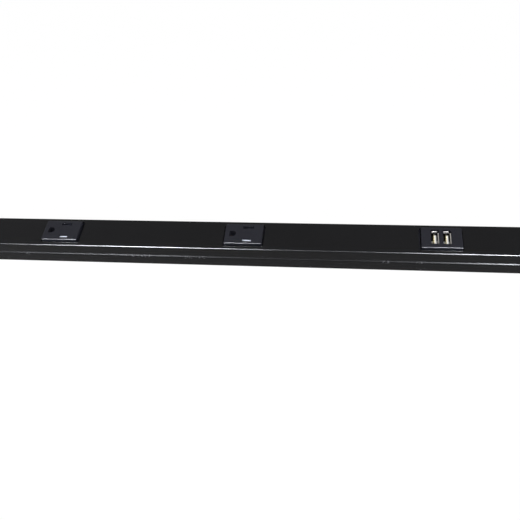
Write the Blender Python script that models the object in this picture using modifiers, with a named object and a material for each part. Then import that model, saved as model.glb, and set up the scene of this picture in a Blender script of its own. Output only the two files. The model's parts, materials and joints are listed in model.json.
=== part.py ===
"""Surface raceway power strip: two grounding receptacles and a USB module in a steel raceway.

Metres. +X runs along the strip, +Z comes out of its face, and the origin is at the middle of its back.
Run with: blender --background --python part.py
"""

import math

import bmesh
import bpy
from mathutils import Matrix, Vector

# Raceway
STRIP_LENGTH = 0.4572
STRIP_WIDTH = 0.028575
STRIP_DEPTH = 0.022225
MODULES = 3  # at an even pitch, with half a pitch beyond the outer ones
BASE_SHEET = 0.0010
COVER_SHEET = 0.0010
CAP_SHEET = 0.0010
GAP = 0.0003  # between pieces that rest on each other
COVER_BEND = 0.0011  # outer radius
BASE_BEND = 0.0015
SKIRT_SHARE = 0.531  # height of the skirt's end above the back, as a share of the depth
LIP_HEIGHT = 0.0013
LIP_TURN = 0.0005
WALL_CLEARANCE = 0.0008  # between the cover's skirt and the base's upper wall
SHOULDER_DROP = 0.0017  # from the skirt's end down to the shoulder
SHOULDER_RISE = 0.0016
SHOULDER_BEND = 0.0012
WALL_DROP = 0.005225  # from the face down to the top of the base's wall
BEAD_LAP = 0.0018
BEAD_HEIGHT = 0.0016
BEAD_DEPTH = 0.0005
BEAD_BEND = 0.0006
MOUNT_HOLE_RADIUS = 0.0024
END_HOLE_INSET = 0.0491
KNOCKOUT_INSET = 0.0281
KNOCKOUT_RADIUS = 0.0104
KNOCKOUT_SLIT = 0.0004
KNOCKOUT_TAB = math.radians(16)

# End caps and screws
TONGUE_LENGTH = 0.0150
TONGUE_WIDTH = 0.0076
TONGUE_SHEET = 0.0008
EAR_LENGTH = 0.0080
EAR_LOW = 0.0026
EAR_TOP_GAP = 0.0011  # below the shoulder
CAP_SCREW_INSET = 0.0096
SHANK_RADIUS = 0.0015
SCREW_HEAD_RADIUS = 0.0030
SCREW_HEAD_HEIGHT = 0.0017
SCREW_FOOT = 0.0003
RECESS_WIDTH = 0.0007
WASHER_SHEET = 0.0006
HEX_HEAD_HEIGHT = 0.0022

# Wires
WIRE_RADIUS = 0.0014
CORE_RADIUS = 0.0008
GROUND_WIRE_Y = 0.0106
FEED_END_INSET = 0.0166
WIRE_OVERRUN = 0.0106  # past the middle of the last module
STRIPPED = 0.0080
WIRE_STEP = 0.0200
CLIP_WIDTH = 0.0120
CLIP_SHEET = 0.0006
CLIP_BEND = 0.0010
CLIP_SHIFT = 0.0180  # from the mounting hole midway between two modules
TERMINAL_INSET = 0.0426
TERMINAL_Y = 0.00945
TERMINAL_RADIUS = 0.0036
BARREL_RADIUS = 0.0018
BARREL_LENGTH = 0.0050

# Face moulding, the same on every module
PLATE_LENGTH = 0.0304
PLATE_WIDTH = 0.0199
PLATE_RISE = 0.0023
PLATE_CORNER = 0.0010
PLATE_EDGE = 0.0008
CUTOUT_GAP = 0.0004  # along the plate's long sides
CUTOUT_END_GAP = 0.0009
FACE_WALL = 0.0013
FLANGE = 0.0008
FLANGE_REACH = 0.0025  # past the plate's ends
COLLAR_WALL = 0.0012
ARM_WIDTH = 0.0060
ARM_SHEET = 0.0010
ARM_REACH = 0.0039
BARB = 0.0008
LUG_WIDTH = 0.0024
LUG_HEIGHT = 0.0006
LUG_LAP = 0.00035  # over the cover

# Receptacle interface
BLADE_SPACING = 0.0127
GROUND_SPACING = 0.01189
BLADE_SHIFT = 0.0029  # from the middle of the plate to the middle of the blades
SLOT_WIDTH = 0.0023
LINE_SLOT = 0.0072
NEUTRAL_SLOT = 0.0089
GROUND_HOLE = 0.0053
GROUND_FLAT = 0.00245

# Rear housing
RIM_REACH = 0.0009  # past the body
RIM_ROOM = 0.0004  # to the base's walls
RIM_HEIGHT = 0.0011
HOUSING_FLOOR = 0.0008
WIRE_ROOM = 0.0005  # between a wire and the housing above it
CUP_LENGTH = 0.0080
CUP_WIDTH = 0.0078
CUP_WALL = 0.0009
PIN_HOLE_RADIUS = 0.0029
CONTACT_COVER = 0.0008
POCKET_ROOM = 0.00035  # around a blade contact
CORE_OUT_SHIFT = 0.0030  # from the ground contact to the hollow beside it

# Contacts
CONTACT_SHEET = 0.0005
LINE_CONTACT = 0.0064
NEUTRAL_CONTACT = 0.0080
CONTACT_HALF = 0.00125
PINCH_HALF = 0.00085
LIP_HALF = 0.00135
FORK_SHEET = 0.0006
FORK_HALF = 0.0022
TINE = 0.0005
TINE_TIP = 0.0022
FORK_NECK = 0.0006
GROUND_BACK = 0.0033
GROUND_LEAF = 0.00265
GROUND_PINCH = 0.0024
GROUND_LEAF_END = 0.0030
GROUND_CONTACT_RISE = 0.0031  # above the housing's floor
STRAP_HEIGHT = 0.0010
STRAP_HALF = 0.0015
SLOT_ROOM = 0.0003

# Shutters
SHUTTER_TRAVEL = 0.0029
BAR_HEIGHT = 0.0009
SIDE_SHEET = 0.0010
RAMP_OUTER = 0.0080
RAMP_INNER = 0.0049
RAMP_LAND = 0.0005
RAMP_FOOT = 0.0015
LOW_BAR_OUTER = 0.0076
LINE_FRAME_HALF = 0.0059
NEUTRAL_FRAME_HALF = 0.0072
PEG_RADIUS = 0.00045
PEG_LENGTH = 0.0010
SPRING_RADIUS = 0.00075
SPRING_WIRE = 0.00012
SPRING_TURNS = 9

# USB module
PORT_X = (-0.0053, 0.00375)
SHELL_LENGTH = 0.0131
SHELL_WIDTH = 0.0057
SHELL_SHEET = 0.0003
SHELL_RECESS = 0.0009
SHELL_ROOM = 0.00025
BOARD_ROOM = 0.0004  # to the cup's walls
BOARD_SHEET = 0.0016
CUP_SHEET = 0.0010
BOSS_HEIGHT = 0.0027
TONGUE_OFFSET = 0.00245  # from the shell's inner left wall to the tongue
PORT_TONGUE = 0.00184
PORT_TONGUE_WIDTH = 0.0111
PORT_TONGUE_RECESS = 0.0012
PORT_CONTACT_Y = (-0.0035, -0.0010, 0.0010, 0.0035)
PORT_CONTACT_WIDTH = 0.0010
PORT_CONTACT_SHEET = 0.0002
INSERT_HEIGHT = 0.0016
INSERT_ROOM = 0.0002
TAP_X = -0.0100

# Sizes and places that follow from those above
HALF_LENGTH = STRIP_LENGTH / 2
HALF_WIDTH = STRIP_WIDTH / 2
MODULE_PITCH = STRIP_LENGTH / MODULES
MODULE_X = [(index - (MODULES - 1) / 2) * MODULE_PITCH for index in range(MODULES)]
END_HOLE_X = HALF_LENGTH - END_HOLE_INSET
KNOCKOUT_X = HALF_LENGTH - KNOCKOUT_INSET
CAP_SCREW_X = HALF_LENGTH - CAP_SCREW_INSET
TERMINAL_X = HALF_LENGTH - TERMINAL_INSET
FEED_END_X = FEED_END_INSET - HALF_LENGTH
WIRE_END_X = MODULE_X[-1] + WIRE_OVERRUN
BASE_INSIDE = HALF_WIDTH - COVER_SHEET - WALL_CLEARANCE - BASE_SHEET
RIM_WIDTH = 2 * (BASE_INSIDE - RIM_ROOM)
BODY_WIDTH = RIM_WIDTH - 2 * RIM_REACH
COLLAR_WIDTH = RIM_WIDTH + 2 * RIM_REACH
COLLAR_LENGTH = PLATE_LENGTH + 2 * FLANGE_REACH
RIM_LENGTH = COLLAR_LENGTH - 2 * (ARM_SHEET + GAP)
BODY_LENGTH = RIM_LENGTH - 2 * RIM_REACH
BOARD_LENGTH = BODY_LENGTH - 2 * (CUP_SHEET + BOARD_ROOM)
BOARD_WIDTH = BODY_WIDTH - 2 * (CUP_SHEET + BOARD_ROOM)
SKIRT_END = SKIRT_SHARE * STRIP_DEPTH
SHOULDER_START = SKIRT_END - SHOULDER_DROP
BEAD_MIDDLE = SKIRT_END + BEAD_LAP
BASE_WALL_TOP = STRIP_DEPTH - WALL_DROP
EAR_HIGH = SHOULDER_START - EAR_TOP_GAP
CLIP_TOP = EAR_HIGH
BACK_INSIDE = BASE_SHEET
COVER_UNDER = STRIP_DEPTH - COVER_SHEET
PLATE_TOP = STRIP_DEPTH + PLATE_RISE
PLATE_UNDER = PLATE_TOP - FACE_WALL
FLANGE_TOP = COVER_UNDER - GAP
FLANGE_UNDER = FLANGE_TOP - FLANGE
COLLAR_LOW = BASE_WALL_TOP + GAP
BAR_TOP = COLLAR_LOW + BAR_HEIGHT
FRAME_LOW = BAR_TOP + GAP
FRAME_TOP = FLANGE_UNDER - GAP
RAMP_TOP = PLATE_UNDER - GAP
COVER_PLATE_TOP = COLLAR_LOW - GAP
RIM_TOP = COVER_PLATE_TOP - CONTACT_COVER - GAP
RIM_LOW = RIM_TOP - RIM_HEIGHT
WIRE_Z = BACK_INSIDE + GAP + WIRE_RADIUS
WIRE_TOP = WIRE_Z + WIRE_RADIUS
HOUSING_LOW = WIRE_TOP + WIRE_ROOM
FLOOR_TOP = HOUSING_LOW + HOUSING_FLOOR
CONTACT_TOP = RIM_TOP - GAP
CONTACT_LOW = FLOOR_TOP + GAP
FORK_TOP = WIRE_TOP + GAP
BLADE_Y = BLADE_SPACING / 2
GROUND_CONTACT_LOW = FLOOR_TOP + GROUND_CONTACT_RISE
GROUND_X = BLADE_SHIFT - GROUND_SPACING
BAY_HALF = NEUTRAL_FRAME_HALF + GAP
BOARD_LOW = FLOOR_TOP + BOSS_HEIGHT + GAP
BOARD_TOP = BOARD_LOW + BOARD_SHEET
SHELL_LOW = BOARD_TOP + GAP
SHELL_TOP = PLATE_TOP - SHELL_RECESS
OVERSHOOT = 0.001  # how far a cutter runs past the face it opens
NUDGE = 0.00003  # keeps the faces of joined shapes from coinciding
TINY = 1e-7

# Turns a flat outline drawn in X and Y to stand in another plane
IN_YZ = Matrix(((0, 0, 1, 0), (1, 0, 0, 0), (0, 1, 0, 0), (0, 0, 0, 1)))
IN_XZ = Matrix(((1, 0, 0, 0), (0, 0, -1, 0), (0, 1, 0, 0), (0, 0, 0, 1)))
IN_XY = Matrix.Identity(4)


# Scene, materials and placing

def clear_scene():
    for obj in list(bpy.data.objects):
        bpy.data.objects.remove(obj, do_unlink=True)


def collection(name):
    made = bpy.data.collections.new(name)
    bpy.context.scene.collection.children.link(made)
    return made


def finish(name, colour, roughness, metallic=0.0):
    made = bpy.data.materials.new(name)
    made.use_nodes = True
    shader = made.node_tree.nodes["Principled BSDF"]
    shader.inputs["Base Color"].default_value = (*colour, 1.0)
    shader.inputs["Roughness"].default_value = roughness
    shader.inputs["Metallic"].default_value = metallic
    return made


def piece(name, mesh, material, parent=None, origin=(0, 0, 0)):
    """A named part whose mesh is drawn in its parent's frame. Its origin goes to the given point."""
    mesh.transform(Matrix.Translation(-Vector(origin)))
    mesh.name = name
    mesh.materials.clear()
    mesh.materials.append(material)
    obj = bpy.data.objects.new(name, mesh)
    obj.location = origin
    obj.parent = parent
    PARTS.objects.link(obj)
    return obj


def boolean(obj, mesh, operation):
    """Joins a helper mesh, drawn in the parent's frame, to a part or cuts it away."""
    helper = bpy.data.objects.new(obj.name + "_" + operation.lower(), mesh)
    helper.parent = obj.parent
    helper.hide_render = True
    helper.display_type = "WIRE"
    CUTTERS.objects.link(helper)
    modifier = obj.modifiers.new(operation.title(), "BOOLEAN")
    modifier.operation = operation
    modifier.object = helper


def join(obj, mesh):
    boolean(obj, mesh, "UNION")


def cut(obj, mesh):
    boolean(obj, mesh, "DIFFERENCE")


# Shapes

def to_mesh(bm):
    mesh = bpy.data.meshes.new("shape")
    bm.to_mesh(mesh)
    bm.free()
    return mesh


def add_block(bm, x, y, z):
    low = Vector((x[0], y[0], z[0]))
    high = Vector((x[1], y[1], z[1]))
    size = high - low
    place = Matrix.Translation((low + high) / 2) @ Matrix.Diagonal((*size, 1.0))
    bmesh.ops.create_cube(bm, size=1.0, matrix=place)


def blocks(*ranges):
    """Boxes that don't meet, each given as its low and high value on X, Y and Z."""
    bm = bmesh.new()
    for x, y, z in ranges:
        add_block(bm, x, y, z)
    return to_mesh(bm)


def rods(*places, axis="Z", sides=24):
    """Round bars that don't meet, each given as its centre, radius and length."""
    turn = {"Z": IN_XY, "Y": IN_XZ, "X": IN_YZ}[axis]
    bm = bmesh.new()
    for centre, radius, length in places:
        bmesh.ops.create_cone(
            bm, cap_ends=True, segments=sides, radius1=radius, radius2=radius, depth=length,
            matrix=Matrix.Translation(centre) @ turn,
        )
    return to_mesh(bm)


def level_edges(bm, height):
    return [e for e in bm.edges if all(abs(v.co.z - height) < TINY for v in e.verts)]


def rounded_block(x, y, z, corner, top=0.0, steps=4):
    """A box with round upright corners and, where top is given, a round upper edge."""
    bm = bmesh.new()
    add_block(bm, x, y, z)
    upright = [e for e in bm.edges if abs(e.verts[0].co.z - e.verts[1].co.z) > TINY]
    bmesh.ops.bevel(bm, geom=upright, offset=corner, segments=steps, profile=0.5, affect="EDGES")
    if top:
        bmesh.ops.bevel(
            bm, geom=level_edges(bm, z[1]), offset=top, segments=steps, profile=0.5, affect="EDGES"
        )
    return to_mesh(bm)


def corner_arc(before, corner, after, radius, steps):
    """Points of the arc that rounds one corner of a path."""
    back = (before - corner).normalized()
    ahead = (after - corner).normalized()
    opening = back.angle(ahead)
    start = corner + back * radius / math.tan(opening / 2)
    centre = corner + (back + ahead).normalized() * radius / math.sin(opening / 2)
    side = 1.0 if back.cross(ahead) < 0 else -1.0
    points = []
    for step in range(steps + 1):
        turn = side * (math.pi - opening) * step / steps
        points.append(centre + Matrix.Rotation(turn, 2) @ (start - centre))
    return points


def rounded_path(corners, radii, steps=4):
    """An open path whose inner corners are rounded by the given radii."""
    corners = [Vector(corner) for corner in corners]
    points = [corners[0]]
    for index, radius in enumerate(radii, start=1):
        points += corner_arc(*corners[index - 1:index + 2], radius, steps)
    return points + [corners[-1]]


def rounded_outline(corners, radii, steps=4):
    """A closed outline with a radius at each corner."""
    corners = [Vector(corner) for corner in corners]
    count = len(corners)
    points = []
    for index, radius in enumerate(radii):
        points += corner_arc(
            corners[index - 1], corners[index], corners[(index + 1) % count], radius, steps
        )
    return points


def arc(centre, radius, start, end, steps):
    return [
        (
            centre[0] + radius * math.cos(start + (end - start) * step / steps),
            centre[1] + radius * math.sin(start + (end - start) * step / steps),
        )
        for step in range(steps + 1)
    ]


def flat_solid(outline, thickness, turn=IN_XY, centre=(0, 0, 0)):
    """A flat outline given its thickness, half to each side, then turned and placed."""
    curve = bpy.data.curves.new("outline", "CURVE")
    curve.dimensions = "2D"
    curve.fill_mode = "BOTH"
    curve.extrude = thickness / 2
    spline = curve.splines.new("POLY")
    spline.points.add(len(outline) - 1)
    for point, place in zip(spline.points, outline):
        point.co = (place[0], place[1], 0.0, 1.0)
    spline.use_cyclic_u = True
    drawn = bpy.data.objects.new("outline", curve)
    bpy.context.scene.collection.objects.link(drawn)
    evaluated = drawn.evaluated_get(bpy.context.evaluated_depsgraph_get())
    mesh = bpy.data.meshes.new_from_object(evaluated)
    bpy.data.objects.remove(drawn, do_unlink=True)
    bm = bmesh.new()
    bm.from_mesh(mesh)
    bmesh.ops.remove_doubles(bm, verts=bm.verts, dist=1e-6)
    bmesh.ops.recalc_face_normals(bm, faces=bm.faces)
    bm.to_mesh(mesh)
    bm.free()
    mesh.transform(Matrix.Translation(centre) @ turn)
    return mesh


def swept_strip(path, span, along):
    """An open strip: a flat path carried straight along one axis."""
    axes = {"X": (1, 2, 0), "Y": (0, 2, 1), "Z": (0, 1, 2)}[along]
    bm = bmesh.new()
    line = []
    for first, second in path:
        place = [0.0, 0.0, 0.0]
        place[axes[0]] = first
        place[axes[1]] = second
        place[axes[2]] = span[0]
        line.append(bm.verts.new(place))
    edges = [bm.edges.new(pair) for pair in zip(line, line[1:])]
    swept = bmesh.ops.extrude_edge_only(bm, edges=edges)["geom"]
    shift = Vector((0.0, 0.0, 0.0))
    shift[axes[2]] = span[1] - span[0]
    bmesh.ops.translate(
        bm, verts=[item for item in swept if isinstance(item, bmesh.types.BMVert)], vec=shift
    )
    return to_mesh(bm)


def add_mirror(obj):
    """Mirrors a half that is open at the object's own Y plane."""
    modifier = obj.modifiers.new("Mirror", "MIRROR")
    modifier.use_axis = (False, True, False)
    modifier.use_clip = True
    modifier.merge_threshold = 0.00001


def add_sheet(obj, thickness):
    modifier = obj.modifiers.new("Sheet", "SOLIDIFY")
    modifier.thickness = thickness
    modifier.offset = 0.0
    modifier.use_even_offset = True


def turned_mesh(profile):
    """The profile of a turned piece as radius and height, from the top down its outer side."""
    bm = bmesh.new()
    line = [bm.verts.new((radius, 0.0, height)) for radius, height in profile]
    for pair in zip(line, line[1:]):
        bm.edges.new(pair)
    return to_mesh(bm)


def add_turning(obj, steps=24):
    modifier = obj.modifiers.new("Turning", "SCREW")
    modifier.steps = steps
    modifier.render_steps = steps
    modifier.use_merge_vertices = True
    modifier.merge_threshold = 0.00001


def tube(name, points, radius, material, parent=None, tips=(), closed_sides=2):
    """A round wire along the points. Each tip is a point's index and the share of the radius it has."""
    curve = bpy.data.curves.new(name, "CURVE")
    curve.dimensions = "3D"
    curve.bevel_depth = radius
    curve.bevel_resolution = closed_sides
    curve.use_fill_caps = True
    spline = curve.splines.new("POLY")
    spline.points.add(len(points) - 1)
    for point, place in zip(spline.points, points):
        point.co = (*place, 1.0)
    for index, share in tips:
        spline.points[index].radius = share
    curve.materials.append(material)
    obj = bpy.data.objects.new(name, curve)
    obj.parent = parent
    PARTS.objects.link(obj)
    return obj


def around(middle, half):
    return (middle - half, middle + half)


# Raceway

def make_base(steel):
    """The rolled base: back, side walls, shoulder, and upper walls with the snap bead."""
    half_sheet = BASE_SHEET / 2
    side = HALF_WIDTH - half_sheet
    upper = HALF_WIDTH - COVER_SHEET - WALL_CLEARANCE - half_sheet
    corners = [
        (0.0, half_sheet),
        (side, half_sheet),
        (side, SHOULDER_START),
        (upper, SHOULDER_START + SHOULDER_RISE),
        (upper, BEAD_MIDDLE - BEAD_HEIGHT / 2),
        (upper + BEAD_DEPTH, BEAD_MIDDLE),
        (upper, BEAD_MIDDLE + BEAD_HEIGHT / 2),
        (upper, BASE_WALL_TOP),
    ]
    shoulder = SHOULDER_BEND - half_sheet
    radii = [BASE_BEND - half_sheet, shoulder, shoulder, BEAD_BEND, BEAD_BEND, BEAD_BEND]
    end = HALF_LENGTH - CAP_SHEET - GAP
    base = piece("raceway_base", swept_strip(rounded_path(corners, radii), (-end, end), "X"), steel)
    add_mirror(base)
    add_sheet(base, BASE_SHEET)

    depth = 4 * BASE_SHEET
    middle_x = MODULE_PITCH / 2
    mounting = [
        ((x, 0.0, half_sheet), MOUNT_HOLE_RADIUS, depth)
        for x in (-END_HOLE_X, -middle_x, middle_x, END_HOLE_X)
    ]
    threads = [
        ((x, y, half_sheet), SHANK_RADIUS + GAP, depth)
        for x, y in ((-CAP_SCREW_X, 0.0), (CAP_SCREW_X, 0.0), (TERMINAL_X, TERMINAL_Y))
    ]
    cut(base, rods(*mounting, *threads))
    for x in (-KNOCKOUT_X, KNOCKOUT_X):
        for start in (0.0, math.pi):
            first = start + KNOCKOUT_TAB
            last = start + math.pi - KNOCKOUT_TAB
            outer = arc((x, 0.0), KNOCKOUT_RADIUS, first, last, 14)
            inner = arc((x, 0.0), KNOCKOUT_RADIUS - KNOCKOUT_SLIT, last, first, 14)
            cut(base, flat_solid(outer + inner, depth, IN_XY, (0, 0, half_sheet)))


def make_cover(steel):
    """The rolled cover: face, side skirts with turned-in lips, and a cut-out for each module."""
    half_sheet = COVER_SHEET / 2
    side = HALF_WIDTH - half_sheet
    corners = [
        (0.0, STRIP_DEPTH - half_sheet),
        (side, STRIP_DEPTH - half_sheet),
        (side, SKIRT_END + LIP_HEIGHT),
        (side - LIP_TURN, SKIRT_END),
    ]
    radii = [COVER_BEND - half_sheet, BEAD_BEND]
    end = HALF_LENGTH - CAP_SHEET - GAP
    path = list(reversed(rounded_path(corners, radii)))
    cover = piece("raceway_cover", swept_strip(path, (-end, end), "X"), steel)
    add_mirror(cover)
    add_sheet(cover, COVER_SHEET)
    for x in MODULE_X:
        cut(cover, rounded_block(
            around(x, PLATE_LENGTH / 2 + CUTOUT_END_GAP),
            around(0.0, PLATE_WIDTH / 2 + CUTOUT_GAP),
            (COVER_UNDER - OVERSHOOT, STRIP_DEPTH + OVERSHOOT),
            PLATE_CORNER + CUTOUT_GAP,
        ))


def make_end_cap(name, side, steel):
    """An end plate with a tongue on the base's floor and two ears inside its walls."""
    outer = side * HALF_LENGTH
    section = rounded_outline(
        [(-HALF_WIDTH, 0.0), (HALF_WIDTH, 0.0), (HALF_WIDTH, STRIP_DEPTH), (-HALF_WIDTH, STRIP_DEPTH)],
        [BASE_BEND, BASE_BEND, COVER_BEND, COVER_BEND],
    )
    plate_x = outer - side * CAP_SHEET / 2
    cap = piece(name, flat_solid(section, CAP_SHEET, IN_YZ, (plate_x, 0, 0)), steel)
    tongue_z = (BACK_INSIDE + GAP, BACK_INSIDE + GAP + TONGUE_SHEET)
    tongue_x = sorted((outer - side * TONGUE_LENGTH, plate_x))
    join(cap, blocks((tongue_x, around(0.0, TONGUE_WIDTH / 2), tongue_z)))
    ear_outer = HALF_WIDTH - BASE_SHEET - GAP
    ear_x = sorted((outer - side * EAR_LENGTH, plate_x))
    ear_z = (EAR_LOW, EAR_HIGH)
    join(cap, blocks(
        (ear_x, (-ear_outer, TONGUE_SHEET - ear_outer), ear_z),
        (ear_x, (ear_outer - TONGUE_SHEET, ear_outer), ear_z),
    ))
    hole = (side * CAP_SCREW_X, 0.0, tongue_z[0])
    cut(cap, rods((hole, SHANK_RADIUS + GAP, 4 * TONGUE_SHEET)))


def make_cap_screw(name, x, zinc):
    """A pan head screw through the cap's tongue into the base, short of the base's back."""
    under_head = BACK_INSIDE + 2 * GAP + TONGUE_SHEET
    top = under_head + SCREW_HEAD_HEIGHT
    profile = [
        (0.0, top),
        (0.5 * SCREW_HEAD_RADIUS, top - 0.08 * SCREW_HEAD_HEIGHT),
        (0.86 * SCREW_HEAD_RADIUS, top - 0.40 * SCREW_HEAD_HEIGHT),
        (SCREW_HEAD_RADIUS, top - 0.75 * SCREW_HEAD_HEIGHT),
        (SCREW_HEAD_RADIUS, under_head),
        (SHANK_RADIUS, under_head),
        (SHANK_RADIUS, 2 * SCREW_FOOT),
        (SHANK_RADIUS - SCREW_FOOT, SCREW_FOOT),
        (0.0, SCREW_FOOT),
    ]
    screw = piece(name, turned_mesh(profile), zinc)
    screw.location.x = x
    add_turning(screw)
    reach = 0.6 * SCREW_HEAD_RADIUS
    recess_z = (top - 0.55 * SCREW_HEAD_HEIGHT, top + OVERSHOOT)
    narrow = RECESS_WIDTH / 2
    cut(screw, blocks((around(x, reach), around(0.0, narrow), recess_z)))
    cut(screw, blocks((around(x, narrow), around(0.0, reach), recess_z)))


def make_ground_screw(green):
    """A hex washer head screw that bonds the ground terminal to the base."""
    under_head = BACK_INSIDE + 2 * GAP + TONGUE_SHEET
    washer = WASHER_SHEET
    head = HEX_HEAD_HEIGHT
    foot = SCREW_FOOT
    middle = under_head + washer / 2
    shank = under_head + washer / 2 - foot
    place = (TERMINAL_X, TERMINAL_Y)
    screw = piece("ground_screw", rods(((*place, middle), TERMINAL_RADIUS, washer)), green)
    join(screw, rods(((*place, middle + head / 2), 0.85 * TERMINAL_RADIUS, head), sides=6))
    join(screw, rods(((*place, foot + shank / 2), SHANK_RADIUS, shank)))


def make_ground_terminal(tinned):
    """A ring on the base's floor with a crimp barrel for the ground wire's stripped end."""
    ring_z = BACK_INSIDE + GAP + TONGUE_SHEET / 2
    barrel_x = TERMINAL_X - TERMINAL_RADIUS - BARREL_LENGTH / 2
    ring = rods(((TERMINAL_X, TERMINAL_Y, ring_z), TERMINAL_RADIUS, TONGUE_SHEET))
    terminal = piece("ground_terminal", ring, tinned)
    neck_x = (barrel_x, TERMINAL_X - SHANK_RADIUS - 2 * GAP)
    join(terminal, blocks((neck_x, around(TERMINAL_Y, CORE_RADIUS), around(ring_z, 0.45 * TONGUE_SHEET))))
    join(terminal, rods(((barrel_x, TERMINAL_Y, WIRE_Z), BARREL_RADIUS - GAP, BARREL_LENGTH), axis="X", sides=16))
    cut(terminal, rods(((TERMINAL_X, TERMINAL_Y, ring_z), SHANK_RADIUS + GAP, 4 * TONGUE_SHEET)))
    bore = (barrel_x - OVERSHOOT, TERMINAL_Y, WIRE_Z)
    cut(terminal, rods((bore, CORE_RADIUS + GAP, BARREL_LENGTH), axis="X", sides=16))


def straight(start, end, y):
    count = max(2, math.ceil((end - start) / WIRE_STEP))
    return [(start + (end - start) * i / count, y, WIRE_Z) for i in range(count + 1)]


def make_wires(black, white, green):
    """Three solid wires on the base's floor, stripped at the feed end."""
    bare = CORE_RADIUS / WIRE_RADIUS
    insulated = FEED_END_X + STRIPPED
    tip = [(FEED_END_X, bare), (insulated - GAP, bare)]
    for name, y, colour in (("line_wire", -BLADE_Y, black), ("neutral_wire", BLADE_Y, white)):
        points = [(x, y, WIRE_Z) for x, _ in tip] + straight(insulated, WIRE_END_X, y)
        tube(name, points, WIRE_RADIUS, colour, tips=[(0, bare), (1, bare)])

    barrel_mouth = TERMINAL_X - TERMINAL_RADIUS - BARREL_LENGTH
    jog_start = MODULE_X[-1]
    jog_end = barrel_mouth - 2 * GAP
    points = [(x, GROUND_WIRE_Y, WIRE_Z) for x, _ in tip]
    points += straight(insulated, jog_start, GROUND_WIRE_Y)
    for step in range(1, 7):
        share = step / 6
        sway = (1 - math.cos(math.pi * share)) / 2
        y = GROUND_WIRE_Y + (TERMINAL_Y - GROUND_WIRE_Y) * sway
        points.append((jog_start + (jog_end - jog_start) * share, y, WIRE_Z))
    points.append((jog_end + GAP, TERMINAL_Y, WIRE_Z))
    points.append((barrel_mouth + 0.7 * BARREL_LENGTH, TERMINAL_Y, WIRE_Z))
    last = len(points) - 1
    tips = [(0, bare), (1, bare), (last - 1, bare), (last, bare)]
    tube("ground_wire", points, WIRE_RADIUS, green, tips=tips)


def make_wire_clip(name, x, spring_steel):
    """A springy tray across the base that presses the wires to its floor."""
    leg = HALF_WIDTH - BASE_SHEET - GAP - CLIP_SHEET / 2
    floor = WIRE_TOP + GAP + CLIP_SHEET / 2
    path = rounded_path([(0.0, floor), (leg, floor), (leg, CLIP_TOP)], [CLIP_BEND])
    clip = piece(name, swept_strip(path, around(0.0, CLIP_WIDTH / 2), "X"), spring_steel)
    clip.location.x = x
    add_mirror(clip)
    add_sheet(clip, CLIP_SHEET)


# Module mouldings

def make_face(name, module, plastic):
    """The raised plate, the collar behind the cover, two snap arms and two lugs over the cover."""
    plate = rounded_block(
        around(0.0, PLATE_LENGTH / 2), around(0.0, PLATE_WIDTH / 2), (FLANGE_UNDER, PLATE_TOP),
        PLATE_CORNER, PLATE_EDGE,
    )
    face = piece(name, plate, plastic, module)
    collar_end = COLLAR_LENGTH / 2
    join(face, rounded_block(
        around(0.0, collar_end), around(0.0, COLLAR_WIDTH / 2), (COLLAR_LOW, FLANGE_TOP),
        PLATE_CORNER / 2, steps=2,
    ))
    arm_inner = collar_end - ARM_SHEET
    barb_top = RIM_LOW - GAP
    arm_low = COLLAR_LOW - ARM_REACH
    lug_low = STRIP_DEPTH + GAP
    lug_inner = PLATE_LENGTH / 2 - PLATE_EDGE / 4
    lug_outer = PLATE_LENGTH / 2 + CUTOUT_END_GAP + LUG_LAP
    for side in (-1, 1):
        arm = [
            (side * collar_end, COLLAR_LOW + ARM_SHEET / 2),
            (side * arm_inner, COLLAR_LOW + ARM_SHEET / 2),
            (side * arm_inner, barb_top),
            (side * (arm_inner - BARB), barb_top),
            (side * (arm_inner - BARB / 4), arm_low),
            (side * collar_end, arm_low),
        ]
        join(face, flat_solid(arm, ARM_WIDTH, IN_XZ))
        lug = [
            (side * lug_inner, lug_low),
            (side * lug_outer, lug_low),
            (side * lug_outer, lug_low + LUG_HEIGHT / 3),
            (side * lug_inner, lug_low + LUG_HEIGHT),
        ]
        join(face, flat_solid(lug, LUG_WIDTH, IN_XZ))
    return face


def make_housing(name, module, plastic, rim_top):
    """The block or cup behind the face, with the rim that the snap arms catch."""
    body = rounded_block(
        around(0.0, BODY_LENGTH / 2), around(0.0, BODY_WIDTH / 2), (HOUSING_LOW, rim_top),
        PLATE_CORNER, steps=2,
    )
    housing = piece(name, body, plastic, module)
    join(housing, rounded_block(
        around(0.0, RIM_LENGTH / 2), around(0.0, RIM_WIDTH / 2), (RIM_LOW, rim_top + TINY * 10),
        PLATE_CORNER, steps=2,
    ))
    return housing


def fork_outline(middle):
    """A plate that straddles a wire from above, with a neck up to its contact."""
    inner = FORK_HALF - TINE
    shoulder = HOUSING_LOW + HOUSING_FLOOR - GAP
    neck_top = CONTACT_LOW + 0.8 * CONTACT_SHEET
    half = [
        (FORK_HALF, shoulder), (FORK_HALF, TINE_TIP), (inner, TINE_TIP), (inner, FORK_TOP),
    ]
    right = [(FORK_NECK, neck_top), (FORK_NECK, shoulder)] + half
    left = [(-y, z) for y, z in reversed(right)]
    return [(middle + y, z) for y, z in right + left]


def fork_slot(x, middle, top):
    """The slot in a housing's floor and pocket that lets a fork through."""
    return (
        around(x, FORK_SHEET / 2 + SLOT_ROOM),
        around(middle, FORK_HALF + SLOT_ROOM),
        (HOUSING_LOW - OVERSHOOT, top),
    )


# Receptacle

def ground_hole_outline():
    """A round hole on the blades' side with a flat on the far side."""
    radius = GROUND_HOLE / 2
    points = arc((GROUND_X, 0.0), radius, -math.pi / 2, math.pi / 2, 12)
    return points + [(GROUND_X - GROUND_FLAT, radius), (GROUND_X - GROUND_FLAT, -radius)]


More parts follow.
